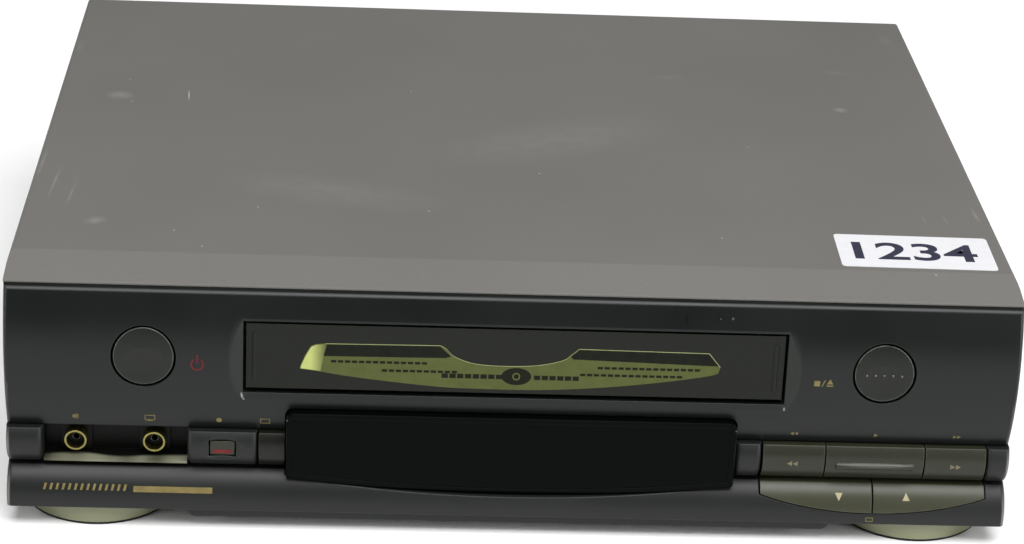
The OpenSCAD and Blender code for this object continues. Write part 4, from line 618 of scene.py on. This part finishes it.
def dash_row(name, x, z, count, step, dash, tall):
    """A row of ink dashes on the film, from its left end."""
    made = grown(dash_tree, {"Count": count, "Step": (step, 0.0, 0.0), "Finish": film_ink,
                             "Size": (dash, DASH_THICK, tall)})
    for v in made.vertices:
        v.co = on_flap(x + v.co.x, z + v.co.z, FILM_THICK + INK_THICK - v.co.y)
    object_from(name, made, film_ink, "flap")


for number, row in enumerate(ROWS, 1):
    dash_row("film_row_%d" % number, *row)
disc = [(DISC_CENTRE[0] + DISC_HALF[0] * math.cos(a), DISC_CENTRE[1] + DISC_HALF[1] * math.sin(a))
        for a in (math.radians(360 * i / DISC_SIDES) for i in range(DISC_SIDES))]
printed("film_disc", [disc], on_film(), film_ink, "flap")
printed("film_disc_ring", ring(*DISC_CENTRE, 1.5, 1.0, steps=18), on_film(INK_THICK), bright_film,
        "flap")

# Control bar and base: the bar is a half-round moulding whose end blocks, record key's scooped
# block and filler beside the window stand on one spine behind. The bulged base under it, with
# its skirt, is moulded in the same plastic, and both have a painted highlight at their ends.
BAR_AXIS = (-20.3, 33.1)
BAR_RADIUS = 10.8
# Painted highlights: pale bands down the outer ends of the base and the bar.
END_HIGHLIGHTS = [(-188.9, 13, 0.7, 11), (188.9, 13, 0.7, 11), (-188.9, 33, 0.6, 7),
             (188.9, 33, 0.6, 7)]
bar_plastic = moulded("bar_plastic", (0.0058, 0.0070, 0.0062, 1), (0.0120, 0.0136, 0.0123, 1),
                      rough=0.42, edge=0.7, edge_wear_sheen_strength=0.7, gloss=0.3)
scars_and_highlights(bar_plastic, END_HIGHLIGHTS, (0.13, 0.13, 0.125, 1))
dress(bar_plastic, "control_bar", "lower_bezel")

# Side cheeks: two thin walls of the bar's plastic that close the sides behind the bar's ends,
# between the fascia and the base. They clip in from behind, flush with the front's sides.
CHEEK_FACE = 189.4
CHEEK_THICK = 1.7
CHEEK_CENTRE = (-8.25, 31.7)
CHEEK_SIZE = (16.2, 16.1)
CHEEK_CORNER = 0.5
for side, hand in (("left", -1), ("right", 1)):
    wall = slab([rounded(*CHEEK_SIZE, CHEEK_CORNER, centre=CHEEK_CENTRE)], 0.0,
                lambda y, z, height: place(hand * (CHEEK_FACE + height), y, z), strip=UNCUT,
                sink=CHEEK_THICK)
    object_from(side + "_cheek", wall, bar_plastic, "case")

# Keys: rewind, play, forward and the two channel keys in a lighter olive grey than the front,
# and a darker monitor key, each moulded with a stem that runs through to a switch. Their
# signs, and the marks on the base, are printed in golds.
KEY_REACH = 0.1
CHANNEL_AXIS = (-20.1, 11.0)
CHANNEL_RADIUS = 15.0
BASE_RADIUS = 14.5
PLAY_RIB_HIGHLIGHT = (138.3, 33.0, 16.5, 0.9)
KEY_SIGN_Z, KEY_SIGN_SIZE = 32.7, 1.25
CHANNEL_SIGN_SIZE = 1.7
BASE_BAR = (-127.4, 16.8, 29.6, 2.1)
STROKE_START, STROKE_STEP, STROKE_COUNT = -176.0, 2.3, 14
STROKE_FOOT, STROKE_HEAD = 16.1, 18.3
key_plastic = moulded("key_plastic", (0.0140, 0.0150, 0.0088, 1), (0.028, 0.029, 0.019, 1),
                      rough=0.30, edge=0.55, edge_wear_sheen_strength=0.8, gloss=0.3)
# Painted highlight: a pale band along the play key's rib.
scars_and_highlights(key_plastic, [PLAY_RIB_HIGHLIGHT], (0.055, 0.057, 0.046, 1), strength=3)
small_key_plastic = moulded("small_key_plastic", (0.0044, 0.0052, 0.0033, 1),
                            (0.0096, 0.0104, 0.0070, 1), rough=0.30, edge=0.55, edge_wear_sheen_strength=0.8,
                            gloss=0.25)
channel_plastic = moulded("channel_plastic", (0.026, 0.0275, 0.0150, 1), (0.046, 0.048, 0.030, 1),
                          rough=0.32, edge=0.55, edge_wear_sheen_strength=0.3, gloss=0.35)
dress(small_key_plastic, "monitor_button")
dress(key_plastic, "rewind_button", "play_button", "forward_button")
dress(channel_plastic, "channel_down_button", "channel_up_button")
on_bar = on_drum(BAR_AXIS, BAR_RADIUS - KEY_REACH)
on_channel = on_drum(CHANNEL_AXIS, CHANNEL_RADIUS)
for key, turn, tips in (("rewind", 180, (107.9, 105.7)), ("forward", 0, (167.6, 169.8))):
    signs = [arrow(x, KEY_SIGN_Z, KEY_SIGN_SIZE, turn) for x in tips]
    printed(key + "_sign", signs, on_bar, key_ink, key + "_key")
for key, turn, x, z in (("channel_down", 270, 125.3, 19.9), ("channel_up", 90, 151.2, 19.5)):
    signs = [arrow(x, z, CHANNEL_SIGN_SIZE, turn)]
    printed(key + "_sign", signs, on_channel, pale_ink, key + "_key")
on_base = on_drum(CHANNEL_AXIS, BASE_RADIUS)
printed("base_bar", [bar_mark(*BASE_BAR)], on_base, gold_ink, "case")
strokes = [[(x, STROKE_FOOT), (x + 0.9, STROKE_FOOT), (x + 1.5, STROKE_HEAD),
            (x + 0.6, STROKE_HEAD)]
           for x in (STROKE_START + STROKE_STEP * i for i in range(STROKE_COUNT))]
printed("base_strokes", strokes, on_base, gold_ink, "case")
printed("channel_sign", frame_mark(137.5, 11.0, 2.6, 1.5, 0.25), on_base, gold_ink, "case")

# Record key: a small key at the bottom of its scoop, moulded in the keys' olive plastic. A
# stripe of red paint lies across its lower half, so that it is found at once.
RECORD_X = -109.05
RECORD_FACE = -29.5
STRIPE_Z = 31.7
STRIPE_SIZE = (7.2, 1.4)
dress(key_plastic, "record_button")
red_paint = plain_paper("red_paint", (0.15, 0.012, 0.016, 1), mottle=0.6, rough=0.45, gloss=0.2)


def on_record(x, z, height):
    """Lays points on the record key's flat face."""
    return place(x, RECORD_FACE - height, z)


printed("record_stripe", [bar_mark(RECORD_X, STRIPE_Z, *STRIPE_SIZE)], on_record, red_paint,
        "record_key")

# Front sockets: a black holder whose floor runs to the front, with two gold-plated phono
# sleeves. Each has a black core and a bright contact ring that grips the plug's pin.
SOCKET_X = (-164.3, -134.9)
SOCKET_Z = 33.1
FLOOR_TOP = 26.9
FLOOR_SHORE = -26.0
SHORE_DRIFT = 5
HOLDER_BLACK = (0.0025, 0.0025, 0.0022, 1)
# Painted reflection: the pale, wavy khaki painted on the holder's floor near its front.
REFLECTION_DARK, REFLECTION_PALE = (0.030, 0.030, 0.020, 1), (0.17, 0.17, 0.12, 1)
CONTACT_RING = [(1.55, -22.3), (1.45, -22.6), (1.2, -22.5), (1.15, -15.0), (1.55, -15.0)]


def metal(name, dark, pale, rough, brushed=(1, 1, 1), edge=0.2, scale=700):
    """Bare or plated metal: streaks or mottle by how the grain is stretched, and soft edges."""
    material, tree, shader, where = new_finish(name)
    stretched = add(tree, "Mapping", {"Vector": where, "Scale": brushed}).outputs["Vector"]
    streak = speckle(tree, stretched, scale, 0.3, 0.7, 3.0)
    cloud = speckle(tree, where, 60, 0.35, 0.65, 3.0)
    colour = blend(tree, maths(tree, "MULTIPLY", streak, 0.5), dark, pale)
    colour = blend(tree, maths(tree, "MULTIPLY", cloud, 0.25), colour, dark)
    tree.links.new(colour, shader.inputs["Base Color"])
    shader.inputs["Metallic"].default_value = 1.0
    tree.links.new(more(tree, rough, streak, 0.10), shader.inputs["Roughness"])
    roughened(tree, shader, stretched, grain=0.8, depth=0.004, edge=edge)
    return material


def turned(name, profile, centre, material, body, steps=32):
    """A closed ring turned from a profile of (radius, y) about a line along Y."""
    shaped = bmesh.new()
    loops = []
    for i in range(steps):
        a = 2 * math.pi * i / steps
        points = [place(centre[0] + r * math.cos(a), y, centre[1] + r * math.sin(a))
                  for r, y in profile]
        loops.append([shaped.verts.new(point) for point in points])
    for i in range(steps):
        for k in range(len(profile)):
            j, n = (i + 1) % steps, (k + 1) % len(profile)
            shaped.faces.new((loops[i][k], loops[j][k], loops[j][n], loops[i][n]))
    made = bpy.data.meshes.new(name)
    shaped.to_mesh(made)
    shaped.free()
    object_from(name, made, material, body)


def holder_finish():
    """The holder's black, with a pale, streaky painted reflection on the floor that runs to its
    front.
    """
    material, tree, shader, where = new_finish("holder_black")
    parted = add(tree, "SeparateXYZ", {"Vector": where}).outputs
    low = maths(tree, "LESS_THAN", parted["Z"], FLOOR_TOP * MM)
    stretched = add(tree, "Mapping", {"Vector": where, "Scale": (1, 0.2, 1)}).outputs["Vector"]
    drift = speckle(tree, stretched, 38, 0.3, 0.7, 0.0)
    shore = more(tree, (FLOOR_SHORE + CASE_Y) * MM, drift, SHORE_DRIFT * MM)
    past = maths(tree, "SUBTRACT", shore, parted["Y"])
    near = add(tree, "MapRange", {"Value": past, "From Min": -0.6 * MM, "From Max": 1.2 * MM})
    wave = speckle(tree, stretched, 70, 0.35, 0.62, 1.0)
    khaki = blend(tree, wave, REFLECTION_DARK, REFLECTION_PALE)
    painted_reflection = maths(tree, "MULTIPLY", low, near.outputs["Result"])
    colour = blend(tree, painted_reflection, HOLDER_BLACK, khaki)
    tree.links.new(colour, shader.inputs["Base Color"])
    shader.inputs["Roughness"].default_value = 0.4
    shader.inputs["Specular IOR Level"].default_value = 0.12
    roughened(tree, shader, where, grain=0.6, depth=0.008, edge=0.3)
    return material


dress(holder_finish(), "jack_holder")
gold = metal("gold_plating", (0.20, 0.18, 0.055, 1), (0.40, 0.36, 0.13, 1), 0.28, edge=0.25)
dress(gold, "audio_jack", "video_jack")
contact_metal = metal("contact_metal", (0.04, 0.042, 0.04, 1), (0.16, 0.165, 0.16, 1), 0.14)
for x, side in zip(SOCKET_X, ("audio", "video")):
    turned(side + "_contact", CONTACT_RING, (x, SOCKET_Z), contact_metal, "case")

# Display window: one pane of smoked black acrylic with rounded upper corners and an arched
# lower edge, polished. It hides the display tube; its rim catches some light, and pale lines
# down its sides and glints at its upper corners are painted highlights.
RIM_SIDE_HIGHLIGHTS = [(-85.2, 38, 0.4, 10), (84.2, 37, 0.35, 9)]
RIM_CORNER_GLINTS = [(-84.9, 46.8, 0.5, 0.5), (83.9, 46.6, 0.4, 0.4)]
window, tree, shader, where = new_finish("window_gloss")
shader.inputs["Base Color"].default_value = (0.0009, 0.0013, 0.0012, 1)
shader.inputs["Specular IOR Level"].default_value = 0.04
haze = speckle(tree, where, 40, 0.4, 0.7, 4.0)
tree.links.new(more(tree, 0.10, haze, 0.10), shader.inputs["Roughness"])
roughened(tree, shader, where, grain=6.0, depth=0.01, edge=0.8)
# Painted highlights: pale lines down the window's sides and glints at its upper corners.
scars_and_highlights(window, RIM_SIDE_HIGHLIGHTS, (0.016, 0.016, 0.015, 1))
scars_and_highlights(window, RIM_CORNER_GLINTS, (0.10, 0.10, 0.095, 1))
dress(window, "display_window")

# Feet: two large round feet at the front, each a black cup with a khaki ring pressed round it
# and a rubber pad below, and two plain rubber feet at the rear. The mechanism's tyres and belt
# are of the same rubber.
foot_khaki = moulded("foot_khaki", (0.150, 0.158, 0.086, 1), (0.235, 0.24, 0.15, 1), rough=0.36,
                     edge=0.4)
dress(foot_khaki, "foot_rings")
foot_black = moulded("foot_black", (0.012, 0.012, 0.011, 1), (0.03, 0.03, 0.028, 1), rough=0.5)
dress(foot_black, "front_left_foot", "front_right_foot")
rubber = moulded("black_rubber", (0.010, 0.010, 0.010, 1), (0.03, 0.03, 0.03, 1), rough=0.75,
                 grain=0.5, depth=0.02, gloss=0.2)
dress(rubber, "foot_pads", "rear_left_foot", "rear_right_foot", "idler_wheel", "pinch_roller",
      "drive_belt")

# Pan, rear panel and tuner can: the pan and the can are folded from galvanised sheet with its
# spangle, the rear panel from plainer rolled sheet. The pan and the panel are pierced with
# vents, and the panel stands between the pan and the cover's lip.
SPANGLE_SCALE = 130.0
galvanised, tree, shader, where = new_finish("galvanised_steel")
spangle = add(tree, "TexVoronoi", {"Vector": where, "Scale": SPANGLE_SCALE})
shade = add(tree, "MapRange", {"Value": spangle.outputs["Color"], "To Min": 0.36, "To Max": 0.60})
grey = shade.outputs["Result"]
tone = add(tree, "CombineColor", {"Red": grey, "Green": grey, "Blue": grey})
tree.links.new(tone.outputs["Color"], shader.inputs["Base Color"])
shader.inputs["Metallic"].default_value = 1.0
tree.links.new(more(tree, 0.34, spangle.outputs["Distance"], 0.2), shader.inputs["Roughness"])
roughened(tree, shader, where, grain=1.5, depth=0.008, edge=0.3)
dress(galvanised, "bottom_pan", "tuner_box")
rear_steel = metal("rear_steel", (0.30, 0.30, 0.30, 1), (0.46, 0.46, 0.45, 1), 0.40, edge=0.3,
                   scale=300)
dress(rear_steel, "rear_panel")

# Case screws: small cross-slot screws of blackened steel. They hold the cover at its sides and
# along its rear lip, and the feet to the pan.
black_screw = metal("black_screw", (0.035, 0.035, 0.035, 1), (0.09, 0.09, 0.09, 1), 0.42)
dress(black_screw, "case_screws")

# Mechanism: the plate, the brackets that stand on it, the carriage that runs in their slots,
# its basket and the pinch arm are pressed from bright zinc-plated sheet. The flap's spring, the
# capstan and the two tape guides are of polished steel.
plated = metal("zinc_plate", (0.42, 0.43, 0.44, 1), (0.66, 0.67, 0.68, 1), 0.30, (1, 14, 14),
               scale=220)
dress(plated, "deck_plate", "side_brackets", "basket_slider", "cassette_basket", "pinch_arm")
bright_steel = metal("bright_steel", (0.50, 0.51, 0.52, 1), (0.80, 0.81, 0.82, 1), 0.18,
                     (1, 1, 30), scale=260)
dress(bright_steel, "flap_spring", "capstan", "supply_guide", "take_up_guide")

# Head drum: two halves of finely turned aluminium on one leaning axle, the lower one fixed and
# the upper one free to turn, so their streaks run round them.
drum_metal = metal("turned_aluminium", (0.55, 0.56, 0.57, 1), (0.82, 0.83, 0.84, 1), 0.20,
                   (1, 1, 60), scale=160)
dress(drum_metal, "lower_drum", "upper_drum")

# Moulded mechanism pieces: the reel tables are black, and the idler arm, the pulley and the
# loading gear a waxy white that needs no oil. Each turns on a stud of the plate.
reel_black = moulded("reel_black", (0.014, 0.014, 0.014, 1), (0.035, 0.035, 0.035, 1), rough=0.35)
dress(reel_black, "supply_reel", "take_up_reel")
waxy = moulded("waxy_white", (0.60, 0.56, 0.44, 1), (0.74, 0.71, 0.60, 1), rough=0.42, edge_wear_sheen_strength=0.0)
dress(waxy, "idler_arm", "drive_pulley", "loading_gear")

# Motors and heads: the motors have cans drawn from steel sheet, and the loading motor's pinion
# is cut from brass. The heads are polished metal blocks fixed beside the tape's path.
motor_can = metal("motor_can", (0.34, 0.35, 0.36, 1), (0.55, 0.56, 0.57, 1), 0.30, (20, 20, 1),
                  scale=200)
dress(motor_can, "loading_motor", "capstan_motor")
head_face = metal("head_face", (0.60, 0.61, 0.63, 1), (0.88, 0.89, 0.90, 1), 0.10)
dress(head_face, "erase_head", "sound_head")
brass = metal("pinion_brass", (0.50, 0.36, 0.12, 1), (0.80, 0.62, 0.28, 1), 0.28)
dress(brass, "motor_pinion")

# Boards: the main board is green glass fibre, the front and power boards tan paper laminate,
# all lacquered. The key switches are black, and the display is an evacuated glass box.
green_board = moulded("green_board", (0.035, 0.085, 0.025, 1), (0.07, 0.15, 0.05, 1), rough=0.3,
                      edge_wear_sheen_strength=0.0)
dress(green_board, "main_board")
tan_board = moulded("tan_board", (0.25, 0.15, 0.055, 1), (0.38, 0.25, 0.10, 1), rough=0.38,
                    edge_wear_sheen_strength=0.0)
dress(tan_board, "front_board", "power_board")
switch_black = moulded("switch_black", (0.012, 0.012, 0.012, 1), (0.03, 0.03, 0.03, 1),
                       rough=0.35)
dress(switch_black, "tact_switches")
tube, tree, shader, where = new_finish("tube_glass")
shader.inputs["Base Color"].default_value = (0.16, 0.27, 0.24, 1)
shader.inputs["Transmission Weight"].default_value = 0.5
haze = speckle(tree, where, 90, 0.4, 0.7)
tree.links.new(more(tree, 0.06, haze, 0.1), shader.inputs["Roughness"])
roughened(tree, shader, where, grain=4.0, depth=0.01)
dress(tube, "display_tube")

# Transformer: a stack of thin core plates with a taped winding, all dipped in a dark varnish
# that runs into its gaps. It stands on the power board.
varnish = moulded("core_varnish", (0.055, 0.040, 0.028, 1), (0.11, 0.085, 0.06, 1), rough=0.45,
                  grain=1.2, depth=0.05, edge_wear_sheen_strength=0.4)
dress(varnish, "transformer")

# Rear sockets and mains inlet: black moulded blocks, and nickel sleeves on the phono block.
# A coloured core sits in each sleeve: yellow for picture, white and red for sound.
REAR_FACE = 281.0
PHONO_X = (50.0, 68.0, 86.0)
PHONO_Z = (39.0, 59.0)
CORE_BORE, CORE_RADIUS = 1.7, 3.1
CORE_FRONT, CORE_BACK = REAR_FACE - 1.6, REAR_FACE - 2.4
CORE_COLOURS = {"yellow": (0.55, 0.40, 0.03, 1), "white": (0.62, 0.61, 0.57, 1),
                "red": (0.40, 0.02, 0.02, 1)}
socket_black = moulded("socket_black", (0.010, 0.010, 0.009, 1), (0.026, 0.026, 0.022, 1),
                       rough=0.4)
dress(socket_black, "mains_inlet")
nickel = metal("nickel", (0.50, 0.49, 0.46, 1), (0.78, 0.77, 0.73, 1), 0.22)
dress(nickel, "rear_jacks")
core_profile = [(CORE_BORE, CORE_BACK), (CORE_RADIUS, CORE_BACK), (CORE_RADIUS, CORE_FRONT),
                (CORE_BORE, CORE_FRONT)]
for x, (colour_name, tint) in zip(PHONO_X, CORE_COLOURS.items()):
    paler = (*(min(1, c * 1.2) for c in tint[:3]), 1)
    core = moulded("core_" + colour_name, tint, paler, rough=0.35, edge_wear_sheen_strength=0.0)
    for z, row in zip(PHONO_Z, ("lower", "upper")):
        turned("phono_core_" + colour_name + "_" + row, core_profile, (x, z), core, "case")

# Studio: the camera stands at the photograph's angle over a pale floor. A large soft light
# hangs above and in front, a strip at each side draws the edges, and a weak panel low at the
# right lifts that end of the front.
CAMERA_AT = (-53.29, -919.96, 532.83)
CAMERA_PITCH = 0.4432
CAMERA_YAW = 0.0559
CAMERA_ROLL = 0.0498
FOCAL_PIXELS = 2700.0
PICTURE_WIDE = 1024.0
SENSOR = 36.0
FLOOR_HALF = 6.0
LIT_POINT = (0.0, 0.0, 0.05)
SKY_STRENGTH = 0.12
scene = bpy.context.scene
camera_data = bpy.data.cameras.new("camera")
camera_data.sensor_width = SENSOR
camera_data.lens = SENSOR * FOCAL_PIXELS / PICTURE_WIDE
camera = bpy.data.objects.new("camera", camera_data)
scene.collection.objects.link(camera)
ahead = Vector((math.sin(CAMERA_YAW) * math.cos(CAMERA_PITCH),
                math.cos(CAMERA_YAW) * math.cos(CAMERA_PITCH), -math.sin(CAMERA_PITCH)))
level = Vector((math.cos(CAMERA_YAW), -math.sin(CAMERA_YAW), 0.0))
upright = level.cross(ahead)
right = math.cos(CAMERA_ROLL) * level + math.sin(CAMERA_ROLL) * upright
up = -math.sin(CAMERA_ROLL) * level + math.cos(CAMERA_ROLL) * upright
aimed = Matrix((right, up, -ahead)).transposed().to_4x4()
camera.matrix_world = Matrix.Translation(place(*CAMERA_AT)) @ aimed
scene.camera = camera

floor_mesh = bpy.data.meshes.new("floor")
corners = [(x * FLOOR_HALF, y * FLOOR_HALF, 0) for x, y in ((-1, -1), (1, -1), (1, 1), (-1, 1))]
floor_mesh.from_pydata(corners, [], [(0, 1, 2, 3)])
floor = bpy.data.objects.new("floor", floor_mesh)
scene.collection.objects.link(floor)
floor_finish, tree, shader, where = new_finish("pale_sweep")
shader.inputs["Base Color"].default_value = (0.90, 0.90, 0.90, 1)
shader.inputs["Roughness"].default_value = 0.9
shader.inputs["Specular IOR Level"].default_value = 0.1
floor_mesh.materials.append(floor_finish)


def soft_light(name, at, size, power):
    """A soft panel of light at a place in metres, turned to face the recorder."""
    data = bpy.data.lights.new(name, "AREA")
    data.shape = "RECTANGLE"
    data.size, data.size_y = size
    data.energy = power
    lamp = bpy.data.objects.new(name, data)
    scene.collection.objects.link(lamp)
    lamp.location = at
    lamp.rotation_mode = "QUATERNION"
    lamp.rotation_quaternion = (Vector(LIT_POINT) - Vector(at)).to_track_quat("-Z", "Y")


soft_light("top_light", (0.2, -0.9, 2.1), (2.2, 1.4), 76)
soft_light("left_strip", (-1.5, -0.9, 0.6), (0.22, 1.0), 11)
soft_light("right_strip", (1.5, -0.9, 0.6), (0.22, 1.0), 15)
soft_light("right_glow", (1.0, -1.6, 0.65), (0.8, 0.8), 2.0)
world = bpy.data.worlds.new("studio")
world.use_nodes = True
sky = world.node_tree.nodes["Background"].inputs
sky["Color"].default_value = (1, 1, 1, 1)
sky["Strength"].default_value = SKY_STRENGTH
scene.world = world
scene.view_settings.view_transform = "Standard"
